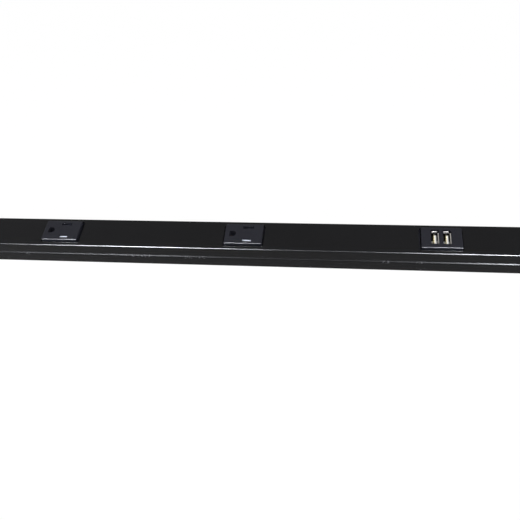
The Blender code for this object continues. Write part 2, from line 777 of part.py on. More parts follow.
def make_receptacle_face(name, module, plastic):
    face = make_face(name, module, plastic)
    bay_x = around(BLADE_SHIFT, BAY_HALF)
    bay_y = around(0.0, COLLAR_WIDTH / 2 - COLLAR_WALL)
    ramp_y = around(0.0, RAMP_OUTER + 2 * GAP)
    cut(face, blocks((bay_x, bay_y, (COLLAR_LOW - OVERSHOOT, FLANGE_UNDER))))
    cut(face, blocks((bay_x, ramp_y, (FLANGE_UNDER - OVERSHOOT, PLATE_UNDER))))
    through = (PLATE_UNDER - OVERSHOOT / 2, PLATE_TOP + OVERSHOOT)
    cut(face, blocks(
        (around(BLADE_SHIFT, LINE_SLOT / 2), around(-BLADE_Y, SLOT_WIDTH / 2), through),
        (around(BLADE_SHIFT, NEUTRAL_SLOT / 2), around(BLADE_Y, SLOT_WIDTH / 2), through),
    ))
    height = PLATE_TOP - COLLAR_LOW + 2 * OVERSHOOT
    middle = (PLATE_TOP + COLLAR_LOW) / 2
    cut(face, flat_solid(ground_hole_outline(), height, IN_XY, (0, 0, middle)))


def make_contact_cover(name, module, plastic):
    """The plate between the shutters and the contacts, with a window over each contact."""
    z = (COVER_PLATE_TOP - CONTACT_COVER, COVER_PLATE_TOP)
    plate = rounded_block(
        around(0.0, RIM_LENGTH / 2), around(0.0, RIM_WIDTH / 2), z, PLATE_CORNER, steps=2
    )
    cover = piece(name, plate, plastic, module)
    windows = (z[0] - OVERSHOOT, z[1] + OVERSHOOT)
    cut(cover, blocks(
        (around(BLADE_SHIFT, LINE_SLOT / 2 + GAP), around(-BLADE_Y, SLOT_WIDTH / 2 + GAP), windows),
        (around(BLADE_SHIFT, NEUTRAL_SLOT / 2 + GAP), around(BLADE_Y, SLOT_WIDTH / 2 + GAP), windows),
    ))
    cut(cover, rods(((GROUND_X, 0.0, z[0]), PIN_HOLE_RADIUS, 4 * CONTACT_COVER)))


def make_receptacle_housing(name, module, plastic):
    """A moulded block with a pocket for each contact and a cup for the ground pin's tip."""
    housing = make_housing(name, module, plastic, RIM_TOP)
    cup_low = BACK_INSIDE + WIRE_ROOM
    join(housing, blocks((
        around(GROUND_X, CUP_LENGTH / 2), around(0.0, CUP_WIDTH / 2), (cup_low, FLOOR_TOP - GAP / 2),
    )))
    top = RIM_TOP + OVERSHOOT
    contact_half = CONTACT_HALF + CONTACT_SHEET / 2
    pocket = contact_half + POCKET_ROOM
    ground_pocket = (GROUND_X - GROUND_BACK - 2 * GAP - GAP / 2, GROUND_X + GROUND_LEAF_END + GAP)
    core_low = FLOOR_TOP + 2 * GAP
    cut(housing, blocks(
        (around(BLADE_SHIFT, LINE_CONTACT / 2 + GAP), around(-BLADE_Y, pocket), (FLOOR_TOP, top)),
        (around(BLADE_SHIFT, NEUTRAL_CONTACT / 2 + GAP), around(BLADE_Y, pocket), (FLOOR_TOP, top)),
        (ground_pocket, around(0.0, GROUND_LEAF_END + 2 * GAP), (GROUND_CONTACT_LOW - GAP, top)),
        (
            (GROUND_X + GROUND_LEAF_END + CORE_OUT_SHIFT, BODY_LENGTH / 2 - 2 * CUP_WALL),
            around(0.0, BLADE_Y - FORK_HALF - SLOT_ROOM - CUP_WALL),
            (core_low, top),
        ),
    ))
    cut(housing, blocks(fork_slot(BLADE_SHIFT, -BLADE_Y, top), fork_slot(BLADE_SHIFT, BLADE_Y, top)))
    pin_low = cup_low + CUP_WALL
    pin_high = GROUND_CONTACT_LOW
    pin = (GROUND_X, 0.0, (pin_low + pin_high) / 2)
    cut(housing, rods((pin, PIN_HOLE_RADIUS, pin_high - pin_low)))
    strap_low = CONTACT_LOW - 2 * GAP
    fork_low = GROUND_WIRE_Y - FORK_HALF - SLOT_ROOM
    past_rim = RIM_WIDTH / 2 + OVERSHOOT
    slot = [
        (-STRAP_HALF - SLOT_ROOM, strap_low),
        (fork_low, strap_low),
        (fork_low, HOUSING_LOW - OVERSHOOT),
        (past_rim, HOUSING_LOW - OVERSHOOT),
        (past_rim, top),
        (-STRAP_HALF - SLOT_ROOM, top),
    ]
    strap_x = GROUND_X - GROUND_BACK
    cut(housing, flat_solid(slot, FORK_SHEET + 2 * SLOT_ROOM, IN_YZ, (strap_x, 0, 0)))


def make_blade_contact(name, module, brass, y, width):
    """Two spring leaves that pinch a blade, bent from one strip, and a fork onto the wire below."""
    low = CONTACT_LOW + CONTACT_SHEET / 2
    leaf = CONTACT_TOP - low
    corners = [
        (0.0, low),
        (CONTACT_HALF, low),
        (CONTACT_HALF, low + 0.58 * leaf),
        (PINCH_HALF, low + 0.83 * leaf),
        (LIP_HALF, CONTACT_TOP),
    ]
    radii = [0.96 * CONTACT_HALF, 4 * CONTACT_SHEET, 1.2 * CONTACT_SHEET]
    path = rounded_path(corners, radii)
    contact = piece(name, swept_strip(path, around(0.0, width / 2), "X"), brass, module)
    contact.location = (BLADE_SHIFT, y, 0.0)
    add_mirror(contact)
    add_sheet(contact, CONTACT_SHEET)
    join(contact, flat_solid(fork_outline(y), FORK_SHEET, IN_YZ, (BLADE_SHIFT, 0, 0)))


def make_ground_contact(name, module, brass):
    """A spring clip around the ground pin, with a strap to a fork on the ground wire."""
    corners = [
        (-GROUND_BACK, 0.0),
        (-GROUND_BACK, GROUND_LEAF),
        (-0.3 * GROUND_BACK, GROUND_LEAF),
        (0.2 * GROUND_BACK, GROUND_PINCH),
        (0.75 * GROUND_BACK, GROUND_LEAF_END),
    ]
    radii = [1.2 * CONTACT_SHEET, 2 * CONTACT_SHEET, 1.5 * CONTACT_SHEET]
    path = rounded_path(corners, radii)
    contact = piece(name, swept_strip(path, (GROUND_CONTACT_LOW, CONTACT_TOP), "Z"), brass, module)
    contact.location = (GROUND_X, 0.0, 0.0)
    add_mirror(contact)
    add_sheet(contact, CONTACT_SHEET)
    arm_low = CONTACT_LOW - GAP / 2
    arm_top = arm_low + STRAP_HEIGHT
    inner = FORK_HALF - TINE
    strap = [
        (-STRAP_HALF, arm_low),
        (GROUND_WIRE_Y - FORK_HALF, arm_low),
        (GROUND_WIRE_Y - FORK_HALF, TINE_TIP),
        (GROUND_WIRE_Y - inner, TINE_TIP),
        (GROUND_WIRE_Y - inner, FORK_TOP),
        (GROUND_WIRE_Y + inner, FORK_TOP),
        (GROUND_WIRE_Y + inner, TINE_TIP),
        (GROUND_WIRE_Y + FORK_HALF, TINE_TIP),
        (GROUND_WIRE_Y + FORK_HALF, arm_top),
        (STRAP_HALF, arm_top),
        (STRAP_HALF, GROUND_CONTACT_LOW + CONTACT_SHEET),
        (-STRAP_HALF, GROUND_CONTACT_LOW + CONTACT_SHEET),
    ]
    strap_x = GROUND_X - GROUND_BACK
    join(contact, flat_solid(strap, FORK_SHEET, IN_YZ, (strap_x, 0, 0)))


def make_shutter(name, module, plastic, side, half, ramp_low, ramp_foot, frame_low):
    """A ramp under its own slot, two sides, and a low bar under the other slot.

    side is -1 for the line slot and 1 for the neutral slot: the ramp is on that side.
    """
    ramp = [
        (side * RAMP_OUTER, ramp_low),
        (side * RAMP_INNER, ramp_low),
        (side * RAMP_INNER, RAMP_TOP),
        (side * (RAMP_INNER + RAMP_LAND), RAMP_TOP),
        (side * RAMP_OUTER, ramp_foot),
    ]
    origin = (BLADE_SHIFT, 0.0, FRAME_LOW)
    shutter = piece(name, flat_solid(ramp, 2 * half, IN_YZ, (BLADE_SHIFT, 0, 0)), plastic, module, origin)
    riser_top = ramp_low + GAP
    frame = [
        (side * (RAMP_OUTER - NUDGE), frame_low + NUDGE),
        (-side * (LOW_BAR_OUTER - NUDGE), frame_low + NUDGE),
        (-side * (LOW_BAR_OUTER - NUDGE), FRAME_TOP),
        (side * (RAMP_INNER + NUDGE), FRAME_TOP),
        (side * (RAMP_INNER + NUDGE), riser_top),
        (side * (RAMP_OUTER - NUDGE), riser_top - NUDGE),
    ]
    for end in (-1, 1):
        x = BLADE_SHIFT + end * (half - SIDE_SHEET / 2 - NUDGE)
        join(shutter, flat_solid(frame, SIDE_SHEET, IN_YZ, (x, 0, 0)))
    bar_y = sorted((-side * RAMP_INNER, -side * LOW_BAR_OUTER))
    join(shutter, blocks((around(BLADE_SHIFT, half), bar_y, (COLLAR_LOW, BAR_TOP))))
    post_z = (BAR_TOP - NUDGE, FRAME_TOP - NUDGE)
    post_y = sorted((-side * (RAMP_INNER + NUDGE), -side * (LOW_BAR_OUTER - 2 * NUDGE)))
    posts = []
    for end in (-1, 1):
        x = BLADE_SHIFT + end * (half - SIDE_SHEET / 2 - 2 * NUDGE)
        posts.append((around(x, SIDE_SHEET / 2 - NUDGE), post_y, post_z))
    join(shutter, blocks(*posts))
    peg = (BLADE_SHIFT, side * (RAMP_INNER - PEG_LENGTH / 2), SPRING_Z)
    join(shutter, rods((peg, PEG_RADIUS, 1.4 * PEG_LENGTH), axis="Y", sides=12))


def make_shutter_spring(name, module, spring_steel):
    """A coil between the two ramps, over their pegs."""
    length = 2 * (RAMP_INNER - GAP)
    per_turn = 8
    count = SPRING_TURNS * per_turn
    points = []
    for step in range(count + 1):
        turn = 2 * math.pi * step / per_turn
        points.append((
            BLADE_SHIFT + SPRING_RADIUS * math.cos(turn),
            length * (step / count - 0.5) * (1 - SPRING_WIRE / length),
            SPRING_Z + SPRING_RADIUS * math.sin(turn),
        ))
    tube(name, points, SPRING_WIRE, spring_steel, module, closed_sides=1)


def make_receptacle(number, x):
    module = bpy.data.objects.new(f"receptacle_{number}", None)
    module.location.x = x
    PARTS.objects.link(module)
    make_receptacle_face(f"receptacle_{number}_face", module, PLATE_PLASTIC)
    make_contact_cover(f"receptacle_{number}_contact_cover", module, BLACK_PLASTIC)
    make_receptacle_housing(f"receptacle_{number}_housing", module, BLACK_PLASTIC)
    make_blade_contact(f"receptacle_{number}_line_contact", module, BRASS, -BLADE_Y, LINE_CONTACT)
    make_blade_contact(f"receptacle_{number}_neutral_contact", module, BRASS, BLADE_Y, NEUTRAL_CONTACT)
    make_ground_contact(f"receptacle_{number}_ground_contact", module, BRASS)
    make_shutter(
        f"receptacle_{number}_line_shutter", module, SHUTTER_PLASTIC, -1, LINE_FRAME_HALF,
        FRAME_LOW, FRAME_LOW + RAMP_FOOT, FRAME_LOW,
    )
    make_shutter(
        f"receptacle_{number}_neutral_shutter", module, SHUTTER_PLASTIC, 1, NEUTRAL_FRAME_HALF,
        FRAME_TOP + GAP, FRAME_TOP + 2 * GAP, COLLAR_LOW,
    )
    make_shutter_spring(f"receptacle_{number}_shutter_spring", module, SPRING_STEEL)


# USB module

def make_usb_face(module):
    face = make_face("usb_face", module, PLATE_PLASTIC)
    inner_x = PLATE_LENGTH / 2 - COLLAR_WALL
    inner_y = PLATE_WIDTH / 2 - COLLAR_WALL
    cut(face, blocks((
        around(0.0, COLLAR_LENGTH / 2 - 2 * COLLAR_WALL),
        around(0.0, COLLAR_WIDTH / 2 - COLLAR_WALL),
        (COLLAR_LOW - OVERSHOOT, FLANGE_UNDER),
    )))
    cut(face, blocks((around(0.0, inner_x), around(0.0, inner_y), (FLANGE_UNDER - OVERSHOOT, PLATE_UNDER))))
    for x in PORT_X:
        cut(face, rounded_block(
            around(x, SHELL_WIDTH / 2 + SHELL_ROOM), around(0.0, SHELL_LENGTH / 2 + SHELL_ROOM),
            (PLATE_UNDER - OVERSHOOT / 2, PLATE_TOP + OVERSHOOT), 3 * SHELL_ROOM, steps=3,
        ))


def make_usb_housing(module):
    """A cup with four bosses under the circuit board and a slot for each tap's fork."""
    housing = make_housing("usb_housing", module, BLACK_PLASTIC, COVER_PLATE_TOP)
    inner_x = BODY_LENGTH / 2 - CUP_SHEET
    inner_y = BODY_WIDTH / 2 - CUP_SHEET
    cut(housing, blocks((
        around(0.0, inner_x), around(0.0, inner_y), (FLOOR_TOP, COVER_PLATE_TOP + OVERSHOOT),
    )))
    boss_x = (0.83 * inner_x, inner_x + CUP_SHEET / 2)
    boss_y = (0.80 * inner_y, inner_y + CUP_SHEET / 2)
    boss_z = (HOUSING_LOW + GAP, FLOOR_TOP + BOSS_HEIGHT)
    bosses = []
    for side_x in (-1, 1):
        for side_y in (-1, 1):
            x = sorted(side_x * value for value in boss_x)
            y = sorted(side_y * value for value in boss_y)
            bosses.append((x, y, boss_z))
    join(housing, blocks(*bosses))
    slot_top = FLOOR_TOP + OVERSHOOT / 2
    cut(housing, blocks(fork_slot(TAP_X, -BLADE_Y, slot_top), fork_slot(TAP_X, BLADE_Y, slot_top)))


def make_circuit_board(module):
    z = (BOARD_LOW, BOARD_TOP)
    outline = rounded_block(around(0.0, BOARD_LENGTH / 2), around(0.0, BOARD_WIDTH / 2), z, 0.0005, steps=2)
    board = piece("usb_circuit_board", outline, BOARD_GREEN, module)
    cut(board, rods(*[
        ((TAP_X, y, BOARD_LOW), FORK_NECK + GAP, 4 * BOARD_SHEET) for y in (-BLADE_Y, BLADE_Y)
    ]))


def make_tap(name, module, y):
    """A fork on a wire, with a pin soldered through the circuit board."""
    inner = FORK_HALF - TINE
    shoulder = FLOOR_TOP - GAP
    pin_top = BOARD_TOP + 2 * GAP
    pin = 0.7 * FORK_NECK
    right = [
        (pin, pin_top), (pin, shoulder), (FORK_HALF, shoulder), (FORK_HALF, TINE_TIP),
        (inner, TINE_TIP), (inner, FORK_TOP),
    ]
    left = [(-side, z) for side, z in reversed(right)]
    outline = [(y + side, z) for side, z in right + left]
    piece(name, flat_solid(outline, FORK_SHEET, IN_YZ, (TAP_X, 0, 0)), BRASS, module)


def make_port(number, x, module):
    """A drawn shell, its insert with the tongue, and four spring contacts on the tongue."""
    half_x = SHELL_WIDTH / 2
    half_y = SHELL_LENGTH / 2
    corner = 2 * SHELL_SHEET
    shell_mesh = rounded_block(
        around(x, half_x), around(0.0, half_y), (SHELL_LOW, SHELL_TOP), corner, steps=3
    )
    shell = piece(f"usb_port_{number}_shell", shell_mesh, NICKEL, module)
    cut(shell, rounded_block(
        around(x, half_x - SHELL_SHEET), around(0.0, half_y - SHELL_SHEET),
        (SHELL_LOW + SHELL_SHEET, SHELL_TOP + OVERSHOOT), corner - SHELL_SHEET, steps=3,
    ))

    inner_x = half_x - SHELL_SHEET
    insert_low = SHELL_LOW + SHELL_SHEET + INSERT_ROOM
    insert_top = insert_low + INSERT_HEIGHT
    insert_mesh = rounded_block(
        around(x, inner_x - INSERT_ROOM), around(0.0, half_y - SHELL_SHEET - INSERT_ROOM),
        (insert_low, insert_top), SHELL_SHEET, steps=2,
    )
    insert = piece(f"usb_port_{number}_insert", insert_mesh, WHITE_PLASTIC, module)
    tongue_left = x - inner_x + TONGUE_OFFSET
    tongue_top = PLATE_TOP - PORT_TONGUE_RECESS
    join(insert, rounded_block(
        (tongue_left, tongue_left + PORT_TONGUE), around(0.0, PORT_TONGUE_WIDTH / 2),
        (insert_top - INSERT_HEIGHT / 2, tongue_top), SHELL_SHEET, SHELL_SHEET / 2, steps=2,
    ))

    stem = tongue_left - INSERT_ROOM
    low = insert_top + INSERT_ROOM
    rise = tongue_top - low
    path = rounded_path(
        [
            (stem, low),
            (stem, low + 0.5 * rise),
            (stem - 2.5 * INSERT_ROOM, low + 0.78 * rise),
            (stem - INSERT_ROOM / 2, low + 0.93 * rise),
        ],
        [0.004, 0.0008],
        steps=3,
    )
    for index, y in enumerate(PORT_CONTACT_Y, start=1):
        strip = swept_strip(path, around(y, PORT_CONTACT_WIDTH / 2), "Y")
        contact = piece(f"usb_port_{number}_contact_{index}", strip, GOLD, module)
        add_sheet(contact, PORT_CONTACT_SHEET)


def make_board_parts(module):
    """The larger parts that stand on the circuit board."""
    low = BOARD_TOP + GAP
    room = PLATE_UNDER - low
    right_start = PORT_X[1] + SHELL_WIDTH / 2 + 3 * GAP
    right_end = BOARD_LENGTH / 2 - GAP
    right_room = right_end - right_start
    core_y = (2 * GAP - BOARD_WIDTH / 2, -0.04 * BOARD_WIDTH)
    corner = 0.06 * right_room
    edge = 0.6 * corner
    core = rounded_block(
        (right_start, right_end), core_y, (low, low + 0.52 * room), corner, edge, steps=2
    )
    transformer = piece("usb_transformer", core, FERRITE, module)
    inset = 0.25 * right_room
    bobbin_y = (core_y[0] + inset, core_y[1] - inset)
    bobbin_z = (low + 0.08 * room, low + 0.58 * room)
    join(transformer, rounded_block(
        (right_start - GAP, right_end + GAP / 2), bobbin_y, bobbin_z, corner, edge, steps=2
    ))

    left_end = PORT_X[0] - SHELL_WIDTH / 2 - GAP
    left_room = left_end + BOARD_LENGTH / 2
    left_middle = left_end - left_room / 2
    right_middle = (right_start + right_end) / 2
    input_y = -0.09 * BOARD_WIDTH
    input_radius = 0.38 * left_room
    cans = (
        ("usb_output_capacitor", (right_middle, 0.26 * BOARD_WIDTH), 0.45 * right_room, 0.73 * room),
        ("usb_input_capacitor", (left_middle, input_y), input_radius, 0.69 * room),
    )
    for name, (x, y), radius, height in cans:
        top = low + height
        waist = 0.92 * radius
        profile = [
            (0.0, top), (0.80 * radius, top), (radius, top - 0.12 * radius),
            (radius, low + 0.55 * radius), (waist, low + 0.45 * radius), (radius, low + 0.35 * radius),
            (0.95 * radius, low), (0.0, low),
        ]
        can = piece(name, turned_mesh(profile), CAN_BLUE, module)
        can.location = (x, y, 0.0)
        add_turning(can, 20)

    radius = 0.33 * left_room
    height = 0.45 * room
    flange = 0.12 * height
    profile = [
        (0.0, low + height), (radius, low + height), (radius, low + height - flange),
        (0.85 * radius, low + height - 1.5 * flange), (0.85 * radius, low + 1.5 * flange),
        (radius, low + flange), (radius, low), (0.0, low),
    ]
    choke = piece("usb_filter_choke", turned_mesh(profile), FERRITE, module)
    choke.location = (left_middle, input_y + input_radius + 2 * GAP + radius, 0.0)
    add_turning(choke, 16)


def make_usb_module(x):
    module = bpy.data.objects.new("usb_module", None)
    module.location.x = x
    PARTS.objects.link(module)
    make_usb_face(module)
    make_usb_housing(module)
    make_circuit_board(module)
    make_tap("usb_line_tap", module, -BLADE_Y)
    make_tap("usb_neutral_tap", module, BLADE_Y)
    for number, port_x in enumerate(PORT_X, start=1):
        make_port(number, port_x, module)
    make_board_parts(module)


SPRING_Z = (FRAME_TOP + 2 * GAP + RAMP_TOP) / 2

clear_scene()
PARTS = collection("power_strip")
CUTTERS = collection("cutters")

BLACK_PAINT = finish("black_paint", (0.020, 0.020, 0.022), 0.38)
PLATE_PLASTIC = finish("plate_plastic", (0.040, 0.042, 0.050), 0.45)
BLACK_PLASTIC = finish("black_plastic", (0.015, 0.015, 0.016), 0.55)
SHUTTER_PLASTIC = finish("shutter_plastic", (0.62, 0.66, 0.72), 0.40)
WHITE_PLASTIC = finish("white_plastic", (0.82, 0.82, 0.80), 0.45)
BRASS = finish("contact_brass", (0.72, 0.52, 0.24), 0.30, 1.0)
GOLD = finish("gold_plating", (0.83, 0.62, 0.25), 0.25, 1.0)
NICKEL = finish("nickel_plating", (0.66, 0.64, 0.60), 0.25, 1.0)
SPRING_STEEL = finish("spring_steel", (0.55, 0.56, 0.58), 0.30, 1.0)
ZINC = finish("zinc_plating", (0.60, 0.62, 0.64), 0.35, 1.0)
GREEN_SCREW = finish("green_screw", (0.05, 0.30, 0.12), 0.40, 0.5)
BLACK_PVC = finish("black_insulation", (0.02, 0.02, 0.02), 0.50)
WHITE_PVC = finish("white_insulation", (0.80, 0.80, 0.78), 0.50)
GREEN_PVC = finish("green_insulation", (0.03, 0.28, 0.08), 0.50)
BOARD_GREEN = finish("board_green", (0.02, 0.16, 0.07), 0.50)
FERRITE = finish("ferrite", (0.05, 0.05, 0.05), 0.60)
CAN_BLUE = finish("capacitor_sleeve", (0.04, 0.06, 0.14), 0.40)

make_base(BLACK_PAINT)
make_cover(BLACK_PAINT)
for cap_name, cap_side in (("left", -1), ("right", 1)):
    make_end_cap(f"end_cap_{cap_name}", cap_side, BLACK_PAINT)
    make_cap_screw(f"end_cap_screw_{cap_name}", cap_side * CAP_SCREW_X, ZINC)
make_ground_screw(GREEN_SCREW)
make_ground_terminal(ZINC)
make_wires(BLACK_PVC, WHITE_PVC, GREEN_PVC)
clip_places = (-MODULE_PITCH / 2 - CLIP_SHIFT, -MODULE_PITCH / 2 + 2 * CLIP_SHIFT, MODULE_PITCH / 2 - CLIP_SHIFT)
for clip_number, clip_x in enumerate(clip_places, start=1):
    make_wire_clip(f"wire_clip_{clip_number}", clip_x, SPRING_STEEL)
make_receptacle(1, MODULE_X[0])
make_receptacle(2, MODULE_X[1])
make_usb_module(MODULE_X[2])
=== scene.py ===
"""Looks of the surface raceway power strip, as a Blender add-on.

Steel skins, face mouldings, screws, ports, wires and springs are surfaces worked out with numpy
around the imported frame. Metres: +X runs along the strip, +Z comes out of its face, and its back
lies at zero height.
"""

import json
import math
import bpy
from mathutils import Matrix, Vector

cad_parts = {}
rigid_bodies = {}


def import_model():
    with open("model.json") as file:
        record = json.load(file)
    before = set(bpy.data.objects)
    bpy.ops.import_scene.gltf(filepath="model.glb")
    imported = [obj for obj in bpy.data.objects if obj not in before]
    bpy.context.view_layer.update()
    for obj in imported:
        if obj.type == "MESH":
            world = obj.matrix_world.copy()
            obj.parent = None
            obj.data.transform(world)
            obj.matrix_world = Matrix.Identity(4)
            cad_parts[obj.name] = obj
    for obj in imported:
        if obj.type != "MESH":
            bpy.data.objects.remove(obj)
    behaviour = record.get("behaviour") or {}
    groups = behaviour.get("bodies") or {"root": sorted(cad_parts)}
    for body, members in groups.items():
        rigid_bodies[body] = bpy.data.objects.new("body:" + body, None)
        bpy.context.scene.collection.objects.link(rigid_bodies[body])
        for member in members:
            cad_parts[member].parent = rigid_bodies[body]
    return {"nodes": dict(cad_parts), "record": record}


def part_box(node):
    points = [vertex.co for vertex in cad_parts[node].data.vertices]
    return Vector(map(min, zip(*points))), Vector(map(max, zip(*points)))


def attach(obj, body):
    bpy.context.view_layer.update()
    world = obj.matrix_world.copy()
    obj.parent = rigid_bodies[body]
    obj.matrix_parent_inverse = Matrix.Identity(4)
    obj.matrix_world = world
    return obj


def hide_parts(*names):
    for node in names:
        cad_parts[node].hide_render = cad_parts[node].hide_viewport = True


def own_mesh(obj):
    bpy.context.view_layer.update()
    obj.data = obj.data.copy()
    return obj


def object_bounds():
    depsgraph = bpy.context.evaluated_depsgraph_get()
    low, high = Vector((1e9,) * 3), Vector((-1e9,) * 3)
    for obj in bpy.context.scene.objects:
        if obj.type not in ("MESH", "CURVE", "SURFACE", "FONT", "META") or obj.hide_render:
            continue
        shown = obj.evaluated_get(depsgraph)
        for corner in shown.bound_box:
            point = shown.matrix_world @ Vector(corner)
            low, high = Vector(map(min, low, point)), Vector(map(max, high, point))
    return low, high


bl_info = {
    "name": "Surface Raceway Power Strip",
    "version": (1, 0, 0),
    "blender": (4, 5, 0),
    "location": "3D View > Sidebar > Power Strip",
    "description": "Builds a steel surface raceway with two grounding receptacles and a USB module",
    "category": "Object",
}

import bmesh
import bpy
import numpy as np
from bpy.props import FloatProperty, FloatVectorProperty, IntProperty, PointerProperty
from mathutils import Vector

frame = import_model()
CAD_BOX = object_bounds()
STRIP = "strip"
RECEPTACLES = ("receptacle_1", "receptacle_2")
PORTS = ("usb_port_1", "usb_port_2")
END_SCREWS = ("end_cap_screw_left", "end_cap_screw_right")
SLOT_OF_NODE = {row["node"]: row["material_slot"] for row in frame["record"]["subparts"]}


def span(node):
    """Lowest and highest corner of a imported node, as two arrays."""
    low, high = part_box(node)
    return np.array(low), np.array(high)


def middle(node):
    low, high = span(node)
    return (low + high) / 2


# Sizes, in metres

GAP = 0.0003  # between pieces that seat on each other
TINY = 1e-6  # points closer than this are one
PAST = 0.001  # how far a cutter reaches past what it cuts
OVERLAP = 0.0005  # how far a cutter reaches into the one before
NOOK = 0.0002  # corner radius of what stays out of sight
FINE_EDGE = 0.0001
CORNER_STEPS = 6
LEAST_CORNER = 0.15  # share of a corner's radius that an inset leaves
SMOOTH_ANGLE = math.radians(40)
SOFT_EDGE_ANGLE = math.radians(42)

# Cover and base. The shoulder's and the bead's radii run along the middle of the sheet.
BEND_RADIUS = 0.0011
SKIRT_END = span("raceway_cover")[0][2] + 0.00018
SKIRT_CURL = 0.0005  # how far the skirt's end turns in
SKIRT_CURL_RISE = 0.0013
SHOULDER_DROP = 0.0017  # from the skirt's end down to the base's shoulder
SHOULDER_RISE = 0.00168
SHOULDER_RADIUS = 0.0007
WALL_STEP = 0.0018  # from the base's side in to its upper wall
BEAD_MIDDLE = 0.0136
BEAD_HEIGHT = 0.0016
BEAD_DEPTH = 0.0005
BEAD_RADIUS = 0.0006
MOUNT_HOLE = 0.0024
SCREW_HOLE = 0.0018
END_HOLE_INSET = 0.0491
KNOCKOUT_INSET = 0.0281
KNOCKOUT = 0.0104
KNOCKOUT_SLIT = 0.0004
KNOCKOUT_TAB = math.radians(16)
SCUFF_PATCHES = (  # middle along X and half length
    (-0.1835, 0.001),
    (-0.0845, 0.007),
    (-0.04, 0.008),
    (0.1115, 0.0015),
    (0.1370, 0.0015),
)
SCUFF_FADE = 0.002
SCUFF_REACH = 0.0016
SCUFF_COLOUR = (0.080, 0.080, 0.088)

# End caps and their screws
CAP_TONGUE_HALF = 0.0038
CAP_TONGUE_CORNER = 0.0006
CAP_SHEET = 0.0008
EAR_LENGTH = 0.008
EAR_LOW = 0.0026
EAR_HIGH = 0.009
HEAD_HEIGHT = 0.0017
HEAD_CROWN = 0.75  # share of the head's height that is domed
SHANK = 0.0015
SHANK_POINT = 0.0003
POLE = 0.02  # share of the radius left at a turned solid's axis
RECESS_DEPTH = 0.55  # share of the head's height
RECESS_REACH = 0.6  # share of the head's radius
RECESS_HALF = 0.00035

# Face mouldings
PLATE_WIDTH = 0.0199
PLATE_CORNER = 0.001
PACKED_SHEET = 0.001
CUTOUT_GAP = np.array([0.0011, 0.0009, 0.0])
CUTOUT_SHIFT = {"receptacle_1": 0.0004, "receptacle_2": -0.0001, "usb": -0.0004}
RIM_WIDTH = 0.00035
FACE_WALL = 0.0013
COLLAR_WALL = 0.0012
COLLAR_CORNER = 0.0005
COLLAR_LOW = span("raceway_base")[1][2] + GAP
FLANGE_REACH = 0.0025  # how far the collar reaches past the plate's ends
FLANGE_TOP = span("raceway_cover")[1][2] - PACKED_SHEET - GAP
FLANGE_UNDER = FLANGE_TOP - 0.0008
GROOVE = np.array([0.0016, 0.0011, 0.0])
GROOVE_CORNER = 0.0008
GROOVE_DEPTH = 0.0005
END_GROOVE_DEPTH = 0.0022
END_GROOVE_LAP = 0.0001
ARM_HALF = 0.003
ARM_ROOT = 0.0005
ARM_THICKNESS = 0.001
HOOK_RISE = 0.0011
HOOK_REACH = 0.0018
HOOK_FOOT = 0.0012
BLADE_Y = 0.00635
BLADE_SHIFT = 0.0029
GROUND_SHIFT = 0.01189
BAY_HALF = 0.0075
RAMP_BAY = 0.0086
SLOT_WIDTH = 0.0023
SLOT_CORNER = 0.00012
LINE_SLOT = 0.0072
NEUTRAL_SLOT = 0.0089
GROUND_HOLE = 0.0053
GROUND_FLAT = 0.00245
USB_NOOK = 0.0004

# USB ports: the openings round the shells, the shells' flared lips, and the inserts
OPENING_CORNER = 0.0012
OPENING_ROOM = 0.0006
OPENING_FAR_ROOM = 0.0011
OPENING_LAP = 0.00055
OPENING_LEFT_LAP = 0.0001
SHELL_SHEET = 0.0003
SHELL_CORNER = 0.0006
SHELL_INNER_CORNER = 0.0003
LIP_RISE = -0.00045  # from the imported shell's top
LIP_SHEET = 0.0002
LIP_ROOT = 0.00025
LIP_LAP = 0.00002
LIP_FLARE = 0.0006
LIP_DROP = 0.00036
LIP_CORNER = 0.0009
FAR_LIP_FLARE = 0.0008
FAR_LIP_DROP = 0.00093
FAR_LIP_CORNER = 0.001
PAINTED_SHADE_BELOW = 0.00106  # from the lips' top down to where painted shade darkens the nickel inside the shells
PAINTED_SHADE_FADE = 0.0002
INSERT_ROOM = 0.0002
INSERT_HEIGHT = 0.0016
INSERT_CORNER = 0.0003
TONGUE_OFFSET = 0.00245
TONGUE_THICKNESS = 0.0016
TONGUE_DROP = 0.0017
TONGUE_WIDTH = 0.009

# Springs and wires
SPRING_WIRE = 0.00012
POINTS_A_TURN = 24
CORE_SHARE = 0.57
STRIPPED = 0.008
CRIMPED = 0.0041
WIRE_LEAD = 0.01  # from a wire's stripped end to its first bend
WIRE_TAIL = 0.02

# Lamps: name, place, size, share of their kind's power, and whether they show in reflections only
LAMPS = (
    ("left_lamp", (-0.50, -0.45, 0.90), (0.60, 0.60), 1.0, False),
    ("right_lamp", (0.60, -0.45, 0.90), (0.60, 0.60), 1.0, False),
    ("left_glint", (-0.395, -0.41, 0.86), (0.29, 0.60), 1.0, True),
    ("right_glint", (0.43, -0.48, 0.83), (0.29, 0.60), 0.88, True),
)
LAMP_AIM = 0.4  # share of a lamp's own X at which it points
LAMP_COLOUR = (1.0, 1.0, 1.0)
GLINT_COLOUR = (0.9, 0.93, 1.0)
FLOOR_REACH = 4.0
FLOOR_GAP = 0.0001


# Meshes

def mesh_from(points, faces):
    mesh = bpy.data.meshes.new("shape")
    mesh.from_pydata(points.reshape(-1, 3).tolist(), [], faces)
    mesh.update()
    return mesh


def ring_faces(rows, columns):
    """Quads (i, j), (i, j+1), (i+1, j+1), (i+1, j) between rings of points, where j wraps round."""
    row = np.arange(rows - 1)[:, None] * columns
    j = np.arange(columns)
    ahead = (j + 1) % columns
    quads = np.stack([row + j, row + ahead, row + columns + ahead, row + columns + j], axis=-1)
    return quads.reshape(-1, 4).tolist()


def shaded(mesh):
    """Shades smooth between sharp edges."""
    mesh.shade_smooth()
    mesh.set_sharp_from_angle(angle=SMOOTH_ANGLE)
    return mesh


